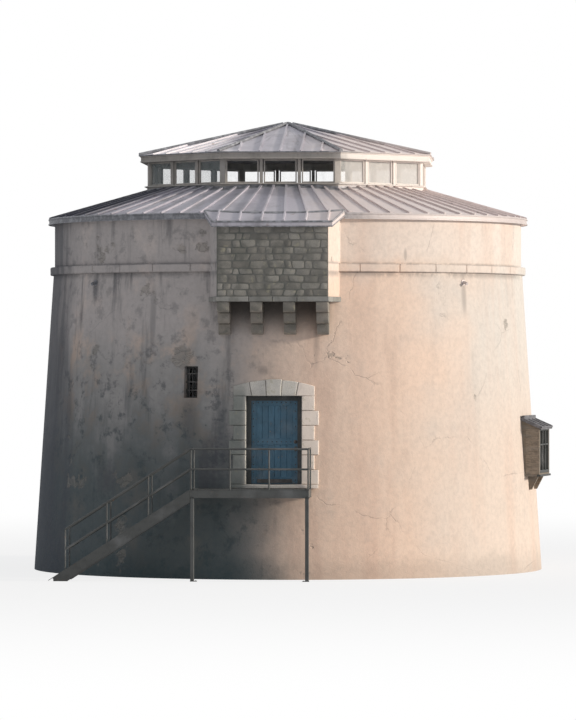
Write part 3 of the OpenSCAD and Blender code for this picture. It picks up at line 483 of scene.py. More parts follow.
for finish, names in dressing.items():
    for name in names:
        nodes[name].data.materials.clear()
        nodes[name].data.materials.append(mats[finish])
print("materials:", len(mats))

# Mesh helpers

def startMesh():
    bm = bmesh.new()
    bm.verts.layers.float.new("tone")
    return bm


def endMesh(bm, name):
    bmesh.ops.recalc_face_normals(bm, faces=bm.faces)
    mesh = bpy.data.meshes.new(name)
    bm.to_mesh(mesh)
    bm.free()
    return mesh


def addPiece(name, shape, finish, body="tower", hides=()):
    mesh = endMesh(shape, name) if isinstance(shape, bmesh.types.BMesh) else shape
    mesh.polygons.foreach_set("use_smooth", [True] * len(mesh.polygons))
    mesh.set_sharp_from_angle(angle=math.radians(30))
    mesh.materials.clear()
    mesh.materials.append(mats[finish])
    piece = bpy.data.objects.new(name, mesh)
    scene.collection.objects.link(piece)
    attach(piece, body)
    if hides:
        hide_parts(*hides)


def joinMeshes(name, meshes):
    bm = bmesh.new()
    for mesh in meshes:
        bm.from_mesh(mesh)
    joined = bpy.data.meshes.new(name)
    bm.to_mesh(joined)
    bm.free()
    return joined


def toneOf(*numbers):  # a fixed number from 0 to 1 for a place
    return (math.sin(sum(n * k for n, k in zip(numbers, (12.9898, 78.233, 37.719)))) * 43758.5453) % 1


def addRing(bm, spots, tone=0.5):
    layer = bm.verts.layers.float["tone"]
    ring = []
    for spot in spots:
        vert = bm.verts.new(spot)
        vert[layer] = tone
        ring.append(vert)
    return ring


def addSkin(bm, rings, closed=False):
    # Faces from each ring to the next, and over both ends of a run that doesn't close
    for near, far in zip(rings, rings[1:] + (rings[:1] if closed else [])):
        for i in range(len(near)):
            j = (i + 1) % len(near)
            bm.faces.new((near[i], near[j], far[j], far[i]))
    if not closed:
        bm.faces.new(rings[0])
        bm.faces.new(rings[-1])


def stone(bm, place, size, cells, chamfer, rough, tone):
    # A dressed stone: place() maps its width, height and depth, its face has a grid and worn edges
    width, height, depth = size

    def cuts(length, count):
        return [0.0] + [chamfer + (length - 2 * chamfer) * i / count for i in range(count + 1)] + [length]

    across, up = cuts(width, cells[0]), cuts(height, cells[1])
    right, top = len(across) - 1, len(up) - 1
    grid = []
    for j, q in enumerate(up):
        spots = []
        for i, p in enumerate(across):
            edge = i in (0, right) or j in (0, top)
            lump = noise.noise(place(p, q, 0) * 6.0) * rough
            spots.append(place(p, q, chamfer * (1 + lump * 60) if edge else lump))
        grid.append(addRing(bm, spots, tone))
    for j in range(top):
        for i in range(right):
            bm.faces.new((grid[j][i], grid[j][i + 1], grid[j + 1][i + 1], grid[j + 1][i]))
    loop = [(0, i) for i in range(right)] + [(j, right) for j in range(top)]
    loop += [(top, i) for i in range(right, 0, -1)] + [(j, 0) for j in range(top, 0, -1)]
    rear = addRing(bm, [place(across[i], up[j], depth) for j, i in loop], tone)
    rim = [grid[j][i] for j, i in loop]
    for k in range(len(loop)):
        n = (k + 1) % len(loop)
        bm.faces.new((rim[k], rim[n], rear[n], rear[k]))
    bm.faces.new(rear)


def bar(bm, low, high, chamfer=0.004, tone=0.5, turn=None):
    # A block with broken edges, between two corners
    middle = [(a + b) / 2 for a, b in zip(low, high)]
    half = [abs(b - a) / 2 for a, b in zip(low, high)]
    cut = min(chamfer, min(half) * 0.45)
    signs = (-1, 1)
    square = ((-1, -1), (1, -1), (1, 1), (-1, 1))
    points = {}
    for corner in itertools.product(signs, repeat=3):
        for axis in range(3):
            spot = [s * (h - (0 if k == axis else cut)) for k, (s, h) in enumerate(zip(corner, half))]
            at = Vector([m + v for m, v in zip(middle, spot)])
            points[(*corner, axis)] = addRing(bm, [turn @ at if turn else at], tone)[0]

    def point(ways, axis):  # ways: the sign along each axis
        return points[ways[0], ways[1], ways[2], axis]

    for axis in range(3):
        a, b = [k for k in range(3) if k != axis]
        for s in signs:
            bm.faces.new([point({axis: s, a: u, b: v}, axis) for u, v in square])
        strip = ((-1, a), (1, a), (1, b), (-1, b))
        for u, v in itertools.product(signs, repeat=2):
            bm.faces.new([point({axis: s, a: u, b: v}, face) for s, face in strip])
    for corner in itertools.product(signs, repeat=3):
        bm.faces.new([points[(*corner, axis)] for axis in range(3)])


def sashFrame(bm, acrossRange, upRange, deepRange, stock, tones, chamfer=0.006, turn=None):
    # Two stiles with two rails between them; tones: left stile, right stile, rails
    left, right = acrossRange
    low, high = upRange
    front, rear = deepRange
    for x, tone in ((left, tones[0]), (right - stock, tones[1])):
        bar(bm, (x, front, low), (x + stock, rear, high), chamfer, tone, turn)
    for z in (low, high - stock):
        bar(bm, (left + stock, front, z), (right - stock, rear, z + stock), chamfer, tones[2], turn)


def beam(bm, start, end, width, height, chamfer=0.004, tone=0.5):
    # A bar between two points, its height upright
    start, end = Vector(start), Vector(end)
    along = (end - start).normalized()
    side = Vector((0, 0, 1)).cross(along)
    side = side.normalized() if side.length > 1e-6 else Vector((0, 1, 0))
    turn = Matrix((along, side, along.cross(side))).transposed().to_4x4()
    turn.translation = start
    length = (end - start).length
    bar(bm, (0, -width / 2, -height / 2), (length, width / 2, height / 2), chamfer, tone, turn)


def tube(bm, points, radius, sides=12):
    # A round bar along a path, its ends closed
    points = [Vector(p) for p in points]
    turns = [math.tau * i / sides for i in range(sides)]
    rings = []
    for k, point in enumerate(points):
        along = (points[min(k + 1, len(points) - 1)] - points[max(k - 1, 0)]).normalized()
        a = along.orthogonal().normalized()
        b = along.cross(a)
        rings.append(addRing(bm, [point + (a * math.cos(t) + b * math.sin(t)) * radius for t in turns]))
    addSkin(bm, rings)


def extrude(bm, outline, place, length, chamfer, tone):
    # An outline run along a length, its ends drawn in a little
    ca = sum(a for a, _ in outline) / len(outline)
    cb = sum(b for _, b in outline) / len(outline)
    reach = max(math.hypot(a - ca, b - cb) for a, b in outline)
    rings = []
    for along, inset in ((0, chamfer), (chamfer, 0), (length - chamfer, 0), (length, chamfer)):
        k = 1 - inset / reach
        spots = [place(ca + (a - ca) * k, cb + (b - cb) * k, along) for a, b in outline]
        rings.append(addRing(bm, spots, tone))
    addSkin(bm, rings)


def lathe(bm, outline, steps, start=-180.0, end=180.0):
    # An outline of radii and heights turned about the tower's axis, azimuths from the door
    whole = end - start >= 360
    turns = [start + (end - start) * k / steps for k in range(steps + (0 if whole else 1))]
    addSkin(bm, [addRing(bm, [around(turn, r, z) for r, z in outline]) for turn in turns], whole)


def sweepOctagon(bm, outline, level):
    # An outline of distances to a side and heights above a level, run round the lantern's eight sides
    rings = []
    for k in range(8):
        corner = [around(k * 45 + 22.5, r / math.cos(math.radians(22.5)), level + up) for r, up in outline]
        rings.append(addRing(bm, corner))
    addSkin(bm, rings, closed=True)


# Geometry node trees

def startTree(name, **inputs):
    tree = bpy.data.node_groups.new(name, "GeometryNodeTree")
    tree.interface.new_socket("Geometry", in_out="INPUT", socket_type="NodeSocketGeometry")
    for label, value in inputs.items():
        kind = {int: "Int", float: "Float", tuple: "Vector"}[type(value)]
        entry = tree.interface.new_socket(label, in_out="INPUT", socket_type="NodeSocket" + kind)
        entry.default_value = value
    tree.interface.new_socket("Geometry", in_out="OUTPUT", socket_type="NodeSocketGeometry")
    graph = Graph(tree)
    source = tree.nodes.new("NodeGroupInput")
    return tree, graph, {end.name: Socket(graph, end) for end in source.outputs if end.name}


def endTree(graph, points, thing, **turns):
    # Copies of a thing on points, as one mesh with a material
    copies = graph.add("GeometryNodeInstanceOnPoints", {"Points": points, "Instance": thing, **turns})
    whole = graph.add("GeometryNodeRealizeInstances", {"Geometry": copies})
    dressed = graph.add("GeometryNodeSetMaterial", {"Geometry": whole, "Material": mats["render"]})
    graph.add("NodeGroupOutput", {0: dressed})


def runTree(tree, name, base=None, **values):
    # Bakes a tree to a plain mesh, from a base mesh where it needs one
    carrier = bpy.data.objects.new(name + "Carrier", base or bpy.data.meshes.new(name + "Base"))
    scene.collection.objects.link(carrier)
    modifier = carrier.modifiers.new("build", "NODES")
    modifier.node_group = tree
    for entry in tree.interface.items_tree:
        if entry.in_out == "INPUT" and entry.name in values:
            modifier[entry.identifier] = values[entry.name]
    shown = carrier.evaluated_get(bpy.context.evaluated_depsgraph_get())
    mesh = bpy.data.meshes.new_from_object(shown)
    mesh.name = name
    carrier.modifiers.remove(modifier)
    bpy.data.objects.remove(carrier)
    return mesh


def spreadPoints(graph, count, spot):  # a point for each index, moved to its spot
    line = graph.add("GeometryNodeMeshLine", {"Count": count}, mode="OFFSET")
    return graph.add("GeometryNodeSetPosition", {"Geometry": line, "Position": spot})


def endBattens(graph, given, kind, points, length, pitch, angle):
    # A batten of length 1 along x, drawn out, leant to the pitch and turned to each point's angle
    width, height = given["Width"], given["Height"]
    if kind == "roll":
        profile = graph.add("GeometryNodeCurvePrimitiveCircle", {"Resolution": 8, "Radius": width / 2})
    else:
        profile = graph.add("GeometryNodeCurvePrimitiveQuadrilateral", {
            "Height": height, "Bottom Width": width, "Top Width": width * 0.62, "Offset": 0.0},
            mode="TRAPEZOID")
    run = graph.add("GeometryNodeCurvePrimitiveLine", {"Start": (-0.5, 0, 0), "End": (0.5, 0, 0)})
    batten = graph.add("GeometryNodeCurveToMesh", {
        "Curve": run, "Profile Curve": profile, "Fill Caps": True})
    endTree(graph, points, batten, Rotation=graph.join(0.0, pitch, angle - math.pi / 2),
            Scale=graph.join(length, 1.0, 1.0))


def radialTree(name, kind):
    # Battens up a round or eight-sided roof, from its eave in to a ring or an eight-sided curb
    tree, graph, given = startTree(name, Count=72, Turn=0.0, Outer=5.95, Inner=3.4, Eave=8.7, Slope=0.2867,
                                   Width=0.05, Height=0.045)
    angle = graph.add("GeometryNodeInputIndex") * (math.tau / given["Count"]) + given["Turn"]
    lean = (angle + math.pi / 8).math("FLOORED_MODULO", math.pi / 4) - math.pi / 8
    inner = given["Inner"] / lean.math("COSINE")
    middle = (given["Outer"] + inner) * 0.5
    pitch = given["Slope"].math("ARCTANGENT")
    length = (given["Outer"] - inner) / pitch.math("COSINE")
    height = given["Eave"] + (given["Outer"] - middle) * given["Slope"] + given["Height"] * 0.35
    spot = graph.join(middle * angle.math("SINE"), middle * angle.math("COSINE") * -1, height)
    endBattens(graph, given, kind, spreadPoints(graph, given["Count"], spot), length, pitch, angle)
    return tree


def sideLanes(graph, given):
    # Copies shared out to eight sides: each one's place along its side, and the side's angle
    index = graph.add("GeometryNodeInputIndex")
    side = (index / given["Each"]).math("FLOOR")
    lane = (index - side * given["Each"] - (given["Each"] - 1) * 0.5) * given["Pitch"]
    return lane, side * (math.pi / 4)


def sidePoints(graph, given, lane, out, angle, height):
    sine = angle.math("SINE")
    cosine = angle.math("COSINE")
    spot = graph.join(lane * cosine + out * sine, lane * sine - out * cosine, height)
    return spreadPoints(graph, given["Each"] * 8, spot)


def sideTree():
    # Upright seams on the eight faces of the upper roof, each as long as its face is there
    tree, graph, given = startTree("sideSeams", Each=5, Pitch=0.5, Apothem=3.59, Half=1.487, Eave=10.248,
                                   Rise=0.85, Width=0.04, Height=0.04)
    lane, angle = sideLanes(graph, given)
    inner = lane.math("ABSOLUTE") / given["Half"] * given["Apothem"]
    middle = (given["Apothem"] + inner) * 0.5
    slope = given["Rise"] / given["Apothem"]
    pitch = slope.math("ARCTANGENT")
    length = (given["Apothem"] - inner) / pitch.math("COSINE")
    height = given["Eave"] + (given["Apothem"] - middle) * slope + given["Height"] * 0.35
    points = sidePoints(graph, given, lane, middle, angle, height)
    endBattens(graph, given, "seam", points, length, pitch, angle)
    return tree


def ringTree():
    # The base mesh in every light of the lantern
    tree, graph, given = startTree("lights", Each=3, Pitch=0.925, Apothem=3.35)
    lane, angle = sideLanes(graph, given)
    points = sidePoints(graph, given, lane, given["Apothem"], angle, 0.0)
    endTree(graph, points, given["Geometry"], Rotation=graph.join(0.0, 0.0, angle))
    return tree


def rowTree():
    # A row of bars, each a step from the last
    tree, graph, given = startTree("barRow", Count=10, Start=(0, 0, 0), Step=(0, 0.03, 0),
                                   Size=(0.3, 0.005, 0.03))
    points = graph.add("GeometryNodeMeshLine", {
        "Count": given["Count"], "Start Location": given["Start"], "Offset": given["Step"]}, mode="OFFSET")
    endTree(graph, points, graph.add("GeometryNodeMeshCube", {"Size": given["Size"]}))
    return tree


def copyTree():
    # The base mesh again and again, each a step from the last
    tree, graph, given = startTree("copies", Count=11, Step=(-0.28, 0, -0.18))
    points = graph.add("GeometryNodeMeshLine", {
        "Count": given["Count"], "Offset": given["Step"]}, mode="OFFSET")
    endTree(graph, points, given["Geometry"])
    return tree


def deckTree():
    # Bars of the landing, each run back from the front edge to the round wall
    tree, graph, given = startTree("deckBars", Count=90, Start=-1.8, Pitch=0.03, Front=7.19, Wall=6.19,
                                   Top=2.155, Thick=0.005, Deep=0.04)
    across = given["Start"] + graph.add("GeometryNodeInputIndex") * given["Pitch"]
    rear = (given["Wall"] * given["Wall"] - across * across).math("SQRT")
    spot = graph.join(across, (given["Front"] + rear) * -0.5, given["Top"] - given["Deep"] * 0.5)
    points = spreadPoints(graph, given["Count"], spot)
    block = graph.add("GeometryNodeMeshCube", {"Size": graph.join(given["Thick"], 1.0, given["Deep"])})
    endTree(graph, points, block, Scale=graph.join(1.0, given["Front"] - rear, 1.0))
    return tree


def headTree(name, dome):
    # Bolt or stud heads on the points of a base mesh, each turned to the base's facing
    tree, graph, given = startTree(name, Radius=0.012, Height=0.008)
    facing = graph.add("GeometryNodeInputNamedAttribute", {"Name": "facing"}, data_type="FLOAT_VECTOR")
    turned = graph.add("FunctionNodeAlignRotationToVector", {"Vector": facing}, axis="Z")
    if dome:
        head = graph.add("GeometryNodeMeshUVSphere", {
            "Segments": 10, "Rings": 6, "Radius": given["Radius"]})
        head = graph.add("GeometryNodeTransform", {
            "Geometry": head, "Scale": graph.join(1.0, 1.0, given["Height"] / given["Radius"])})
    else:
        washer = graph.add("GeometryNodeMeshCylinder", {
            "Vertices": 14, "Radius": given["Radius"] * 1.7, "Depth": given["Height"] * 0.5})
        nut = graph.add("GeometryNodeMeshCylinder", {
            "Vertices": 6, "Radius": given["Radius"], "Depth": given["Height"] * 2})
        head = graph.add("GeometryNodeJoinGeometry")
        for part in (washer, nut):
            graph.tree.links.new(part.end, head.end.node.inputs[0])
    endTree(graph, given["Geometry"], head, Rotation=turned)
    return tree


def headPoints(name, places):  # places: point and facing of each head
    mesh = bpy.data.meshes.new(name)
    mesh.from_pydata([p for p, _ in places], [], [])
    facing = mesh.attributes.new("facing", "FLOAT_VECTOR", "POINT")
    facing.data.foreach_set("vector", [v for _, f in places for v in f])
    return mesh


trees = {"seam": radialTree("roofBattens", "seam"), "roll": radialTree("hipRolls", "roll"),
         "side": sideTree(), "ring": ringTree(), "row": rowTree(), "copy": copyTree(), "deck": deckTree(),
         "bolt": headTree("boltHeads", False), "stud": headTree("studHeads", True)}
print("trees:", len(trees))

# Roofs

roof = {"eaveRadius": 5.95, "eave": 8.70, "slope": math.tan(math.radians(16)), "seams": 72,
        "seamWidth": 0.054, "seamHeight": 0.052}
lantern = {"curb": 3.41, "glass": 3.35, "roof": 3.59, "rise": 0.85, "lane": 0.925, "lights": 3,
           "foot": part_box("lantern_curb")[1].z, "head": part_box("lantern_beam")[0].z,
           "top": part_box("lantern_beam")[1].z}
apron = {"front": 6.73, "rear": 5.73, "half": 1.42, "splay": math.tan(math.radians(14)), "edge": 16.2,
         "lanes": (-2.5, -1.5, -0.5, 0.5, 1.5, 2.5), "trim": 0.030}


def roofHeight(radius):
    return roof["eave"] + (roof["eaveRadius"] - radius) * roof["slope"]


seams = runTree(trees["seam"], "roofSeams", Count=roof["seams"], Turn=math.radians(2.5),
                Outer=roof["eaveRadius"] + 0.012, Inner=lantern["curb"] + 0.01, Eave=roof["eave"] - 0.003,
                Slope=roof["slope"], Width=roof["seamWidth"], Height=roof["seamHeight"])
addPiece("roofSeams", seams, "roof", hides=("roof_seams",))

bm = startMesh()
lathe(bm, [(5.945, 8.712), (5.970, 8.706), (5.982, 8.690), (5.978, 8.668), (5.962, 8.664), (5.962, 8.590),
           (5.980, 8.582), (5.980, 8.556), (5.945, 8.556)], 180, apron["edge"], 360 - apron["edge"])
addPiece("eaveTrim", bm, "lead")

# The apron over the machicolation: seams in line with the roof's, and its edges
bm = startMesh()
lift = roof["seamHeight"] * 0.35
front = apron["front"] + 0.01
for lane in apron["lanes"]:
    x = lane * sheet["apronLane"]
    rear = math.sqrt(roof["eaveRadius"] ** 2 - x * x) - 0.03
    beam(bm, (x, -rear, roofHeight(rear) + lift), (x, -front, roofHeight(front) + lift),
         roof["seamWidth"] * 0.9, roof["seamHeight"], 0.008)
addPiece("apronSeams", bm, "apron")

bm = startMesh()
wide = apron["half"] + (apron["front"] - apron["rear"]) * apron["splay"]
for drop, size in ((-0.012, 0.045), (-0.125, 0.030)):
    frontZ = roofHeight(apron["front"]) + drop
    rearZ = roofHeight(apron["rear"]) + drop
    ends = [(x, -apron["front"], frontZ) for x in (-apron["half"] - 0.01, apron["half"] + 0.01)]
    beam(bm, *ends, apron["trim"], size, 0.009)
    for way in (-1, 1):
        beam(bm, (way * apron["half"], -apron["front"], frontZ), (way * wide, -apron["rear"], rearZ),
             apron["trim"], size, 0.009)
addPiece("apronTrim", bm, "lead")

# Flashing where the apron's sheet steps up from the eave
bm = startMesh()
rings = []
for k in range(33):
    azimuth = -apron["edge"] + 2 * apron["edge"] * k / 32
    lift = roof["eaveRadius"] * (1 - math.cos(math.radians(azimuth))) * roof["slope"]
    lip = roof["eave"] + lift - 0.085 * roof["slope"]
    outline = [(5.86, roofHeight(5.86) + 0.004), (5.938, roofHeight(5.938) + 0.012),
               (5.946, roof["eave"] + lift + 0.022), (6.035, lip + 0.016), (6.035, lip - 0.010),
               (5.935, roof["eave"] - 0.02), (5.86, roofHeight(5.86) - 0.02)]
    rings.append(addRing(bm, [around(azimuth, r, z) for r, z in outline]))
addSkin(bm, rings)
addPiece("apronFlashing", bm, "lead")

# Flashing round the curb, dressed down onto the roof
bm = startMesh()
rings = []
for k in range(8):
    for step in range(10):
        turn = -22.5 + 45 * step / 10
        r = lantern["curb"] / math.cos(math.radians(turn))
        low = roofHeight(r)
        outline = [(r - 0.01, low + 0.062), (r + 0.006, low + 0.062), (r + 0.010, low + 0.016),
                   (r + 0.155, roofHeight(r + 0.155) + 0.010), (r + 0.160, roofHeight(r + 0.16) - 0.01),
                   (r - 0.01, low - 0.02)]
        rings.append(addRing(bm, [around(k * 45 + turn, out, z) for out, z in outline]))
addSkin(bm, rings, closed=True)
addPiece("curbFlashing", bm, "lead")

hipRadius = lantern["roof"] / math.cos(math.radians(22.5))
hips = runTree(trees["roll"], "hipRolls", Count=8, Turn=math.radians(22.5), Outer=hipRadius + 0.01,
               Inner=0.12, Eave=lantern["top"] + 0.012, Slope=lantern["rise"] / hipRadius, Width=0.085,
               Height=0.05)
addPiece("hipRolls", hips, "lead")
upperSeams = runTree(trees["side"], "upperSeams", Each=5, Pitch=sheet["upperLane"], Apothem=lantern["roof"],
                     Half=1.487, Eave=lantern["top"], Rise=lantern["rise"], Width=0.045, Height=0.045)
addPiece("upperSeams", upperSeams, "upper", hides=("upper_roof_seams",))
print("roof sheets and seams")

# Lantern

bm = startMesh()
sweepOctagon(bm, [(3.40, 0.004), (3.470, -0.010), (3.476, -0.028), (3.440, -0.034), (3.40, -0.034)],
             lantern["foot"])
sweepOctagon(bm, [(3.55, 0.004), (3.576, 0.010), (3.576, 0.032), (3.55, 0.040)], lantern["head"])
sweepOctagon(bm, [(3.55, -0.050), (3.580, -0.038), (3.590, -0.016), (3.590, -0.004), (3.55, -0.004)],
             lantern["top"])
addPiece("lanternMouldings", bm, "lantern")
bm = startMesh()
sweepOctagon(bm, [(3.575, -0.006), (3.606, -0.014), (3.620, -0.002), (3.612, 0.014), (3.575, 0.016)],
             lantern["top"])
addPiece("upperDrip", bm, "lead")

sash = {"width": 0.80, "stock": 0.032, "deep": 0.046, "out": 0.012, "play": 0.004}
half = sash["width"] / 2
bm = startMesh()
sashFrame(bm, (-half, half), (lantern["foot"] + sash["play"], lantern["head"] - sash["play"]),
          (-sash["out"] - sash["deep"] / 2, -sash["out"] + sash["deep"] / 2), sash["stock"], (0.4, 0.4, 0.6))
sashes = runTree(trees["ring"], "lanternSashes", endMesh(bm, "oneSash"), Each=lantern["lights"],
                 Pitch=lantern["lane"], Apothem=lantern["glass"])
addPiece("lanternSashes", sashes, "lantern")

bm = startMesh()
peak = lantern["top"] + lantern["rise"]
capOutline = [(0.004, 0.058), (0.05, 0.050), (0.11, 0.022), (0.215, -0.018), (0.235, -0.028), (0.262, -0.034),
              (0.268, -0.050), (0.250, -0.064), (0.10, -0.06), (0.004, -0.05)]
lathe(bm, [(r, peak + up) for r, up in capOutline], 48)
addPiece("leadCap", bm, "hood", hides=("roof_cap",))
print("lantern")

# String course

course = {"radius": 5.93, "low": 7.303, "high": 7.497, "depth": 0.45, "joint": 0.010, "stones": 36,
          "sway": 0.006}
courseStep = math.tau / course["stones"]


def coursePlace(i, p, q, d):
    azimuth = math.degrees(i * courseStep + (p + course["joint"] / 2) / course["radius"])
    return around(azimuth, course["radius"] - d - course["sway"] * toneOf(i, 2), course["low"] + q)


bm = startMesh()
for i in range(1, course["stones"] - 1):
    size = (courseStep * course["radius"] - course["joint"], course["high"] - course["low"], course["depth"])
    stone(bm, partial(coursePlace, i), size, (8, 2), 0.016, 0.010, toneOf(i, 7))
addPiece("stringStones", bm, "render", hides=("string_course",))

# Machicolation

box = {"front": 6.62, "half": 1.31, "splay": math.tan(math.radians(14)), "ledge": 6.58, "ledgeHigh": 0.118,
       "ledgeHalf": 1.34, "ledgeCuts": (0.0, 0.78, 1.34, 1.92, 2.68), "ledgeJoint": 0.008, "out": 0.03,
       "thick": 0.33, "cheekLong": 0.62, "cheekThick": 0.30, "corbels": (-1.17, -0.39, 0.39, 1.17),
       "corbelWidth": 0.28, "corbelRear": 5.68, "course": 0.26, "steps": 3, "nose": 0.14}


def ledgePlace(start, p, q, d):
    half = box["half"] + box["out"] + d * box["splay"]
    share = (start + p + box["ledgeJoint"] / 2) / box["ledgeHalf"] - 1
    return Vector((share * half, -(box["front"] + box["out"] - d), box["ledge"] + q))


def cheekPlace(way, p, q, d):
    y = box["front"] + box["out"] - box["thick"] - box["ledgeJoint"] - p
    x = box["half"] + box["out"] + (box["front"] + box["out"] - y) * box["splay"] - d
    return Vector((way * x, -y, box["ledge"] + q))


bm = startMesh()
for i, (a, b) in enumerate(zip(box["ledgeCuts"], box["ledgeCuts"][1:])):
    size = (b - a - box["ledgeJoint"], box["ledgeHigh"], box["thick"])
    stone(bm, partial(ledgePlace, a), size, (5, 2), 0.014, 0.008, toneOf(i, 11))
for way in (-1, 1):
    size = (box["cheekLong"], box["ledgeHigh"], box["cheekThick"])
    stone(bm, partial(cheekPlace, way), size, (4, 2), 0.014, 0.008, toneOf(way, 5))
addPiece("ledgeStones", bm, "ledge", hides=("machicolation_ledge",))

# The box's front has lost its coat: rubble roughly in courses, bedded in the wall
rubble = {"low": 6.705, "high": 8.362, "rows": 10, "joint": 0.018, "narrow": 0.15, "wide": 0.46, "deep": 0.05,
          "proud": 0.006, "swell": 0.016, "wave": 0.030}


def rubbleLine(row, x):  # height of the joint under a row, the first and last straight
    share = row / rubble["rows"]
    level = rubble["low"] + (rubble["high"] - rubble["low"]) * share
    if 0 < row < rubble["rows"]:
        level += rubble["wave"] * (noise.noise((x * 1.9, row * 5.3, 0.4)) + toneOf(row, 41) - 0.5)
    return level


def rubblePlace(row, left, right, swell, p, q, d):
    u, v = p * 2 - 1, q * 2 - 1
    u, v = u * (1 - 0.11 * v ** 4), v * (1 - 0.13 * u ** 4)
    half = rubble["joint"] / 2
    x0 = left[0] + (left[1] - left[0]) * q + half
    x1 = right[0] + (right[1] - right[0]) * q - half
    x = (x0 + x1) / 2 + (x1 - x0) / 2 * u
    z0, z1 = rubbleLine(row, x) + half, rubbleLine(row + 1, x) - half
    bulge = rubble["proud"] + swell * (1 - u * u) * (1 - v * v)
    return Vector((x, -(box["front"] + bulge - d), (z0 + z1) / 2 + (z1 - z0) / 2 * v))


bm = startMesh()
for row in range(rubble["rows"]):
    edges = [0.0]
    while edges[-1] < 2 * box["half"] - rubble["wide"]:
        span = rubble["narrow"] + (rubble["wide"] - rubble["narrow"]) * toneOf(row, len(edges), 17) ** 1.4
        edges.append(edges[-1] + span)
    edges.append(2 * box["half"])
    joints = [(x - box["half"], x - box["half"]) for x in edges]
    joints[1:-1] = [(x - 0.05 * (toneOf(row, x, 3) - 0.5), x + 0.07 * (toneOf(x, row, 8) - 0.5))
                    for x, _ in joints[1:-1]]
    for i, (left, right) in enumerate(zip(joints, joints[1:])):
        swell = rubble["swell"] * (0.4 + 0.6 * toneOf(row, i, 23))
        place = partial(rubblePlace, row, left, right, swell)
        stone(bm, place, (1.0, 1.0, rubble["deep"]), (7, 5), 0.03, 0.010, toneOf(row, i, 29))
addPiece("boxRubble", bm, "rubble")


def corbelPlace(middle, a, b, along):
    return Vector((middle - box["corbelWidth"] / 2 + along, -a, b))


bm = startMesh()
reach = (box["front"] - faceRadius(box["ledge"])) / box["steps"]
for i in range(box["steps"]):
    z0 = box["ledge"] - box["course"] * (box["steps"] - i) + 0.003
    tip = faceRadius(box["ledge"]) + (i + 1) * reach
    outline = [(box["corbelRear"], z0 + box["course"] - 0.006), (box["corbelRear"], z0)]
    outline += [(tip - box["nose"] + box["nose"] * math.sin(t), z0 + box["nose"] - box["nose"] * math.cos(t))
                for t in (math.pi / 2 * k / 7 for k in range(8))]
    outline += [(tip, z0 + box["course"] - 0.018), (tip - 0.012, z0 + box["course"] - 0.006)]
    for n, middle in enumerate(box["corbels"]):
        extrude(bm, outline, partial(corbelPlace, middle), box["corbelWidth"], 0.016, toneOf(i, n, 3))
addPiece("corbelStones", bm, "corbel", hides=("machicolation_corbels",))
print("string course and machicolation")

# Doorway

door = {"half": 0.665, "sill": 2.25, "head": 4.35, "courses": 6, "long": 0.40, "short": 0.30,
        "joint": 0.010, "deep": 0.25, "rebate": 5.80, "jambProud": 0.030, "jambSway": 0.008,
        "lintelProud": 0.034, "keyProud": 0.016, "lintelHalf": 0.965, "lintelEnd": 0.23, "lintelRise": 0.15,
        "lintelStones": 5}
lintelRadius = (door["lintelHalf"] ** 2 + door["lintelRise"] ** 2) / (2 * door["lintelRise"])
lintelCentre = door["head"] + door["lintelEnd"] + door["lintelRise"] - lintelRadius
lintelFan = 2 * math.asin(door["lintelHalf"] / lintelRadius) / door["lintelStones"]


def surroundPlace(x, z, d, proud):
    front = math.sqrt((faceRadius(z) + proud) ** 2 - x * x)
    return Vector((x, -(front - d * (front - door["rebate"]) / door["deep"]), z))


def jambPlace(x0, z0, proud, p, q, d):
    return surroundPlace(x0 + p, z0 + q, d, proud)


def lintelPlace(i, p, q, d):
    u, v = p / 0.4, q / 0.3
    count = door["lintelStones"]
    key = door["keyProud"] if i == count // 2 else 0.0
    x, z = 0.0, door["head"]
    for attempt in range(4):  # the stone's sides lean with its height, and its height with its place
        left = (z - lintelCentre) * math.tan((i - count / 2) * lintelFan) + door["joint"] / 2
        right = (z - lintelCentre) * math.tan((i + 1 - count / 2) * lintelFan) - door["joint"] / 2
        if i == 0:
            left = -door["lintelHalf"]
        if i == count - 1:
            right = door["lintelHalf"]
        x = left + (right - left) * u
        top = lintelCentre + math.sqrt(lintelRadius ** 2 - min(abs(x), lintelRadius) ** 2) + key
        z = door["head"] + (top - door["head"]) * v
    return surroundPlace(x, z, d, door["lintelProud"] + key)


bm = startMesh()
rise = (door["head"] - door["sill"]) / door["courses"]
for i in range(door["courses"]):
    wide = door["long"] if i % 2 == 0 else door["short"]
    for way in (-1, 1):
        x0 = door["half"] if way > 0 else -door["half"] - wide
        z0 = door["sill"] + i * rise + door["joint"] / 2
        place = partial(jambPlace, x0, z0, door["jambProud"] + door["jambSway"] * toneOf(i, way))
        stone(bm, place, (wide, rise - door["joint"], door["deep"]), (5, 5), 0.014, 0.008, toneOf(i, way, 9))
for i in range(door["lintelStones"]):
    stone(bm, partial(lintelPlace, i), (0.4, 0.3, door["deep"]), (5, 5), 0.014, 0.008, toneOf(i, 31))
addPiece("surroundStones", bm, "surround", hides=("door_surround",))

# Boards of the first floor, cut to the round room
floorBoards = {"radius": 3.685, "wide": 0.205, "top": 2.2512, "thick": 0.012, "gap": 0.004}
bm = startMesh()
count = int(2 * floorBoards["radius"] / floorBoards["wide"])
for i in range(count):
    x0 = (i - count / 2) * floorBoards["wide"] + floorBoards["gap"] / 2
    x1 = x0 + floorBoards["wide"] - floorBoards["gap"]
    run = math.sqrt(floorBoards["radius"] ** 2 - max(abs(x0), abs(x1)) ** 2)
    joint = run * (toneOf(i, 13) * 1.2 - 0.6)
    for k, (y0, y1) in enumerate(((-run, joint - 0.001), (joint + 0.001, run))):
        bar(bm, (x0, y0, floorBoards["top"] - floorBoards["thick"]), (x1, y1, floorBoards["top"]), 0.003,
            toneOf(i, k, 19))
addPiece("floorBoards", bm, "floor")

sill = {"half": 1.06, "low": 2.161, "high": 0.088, "deep": 0.46, "proud": 0.088, "level": 2.2, "worn": 0.012,
        "wornHalf": 0.38}


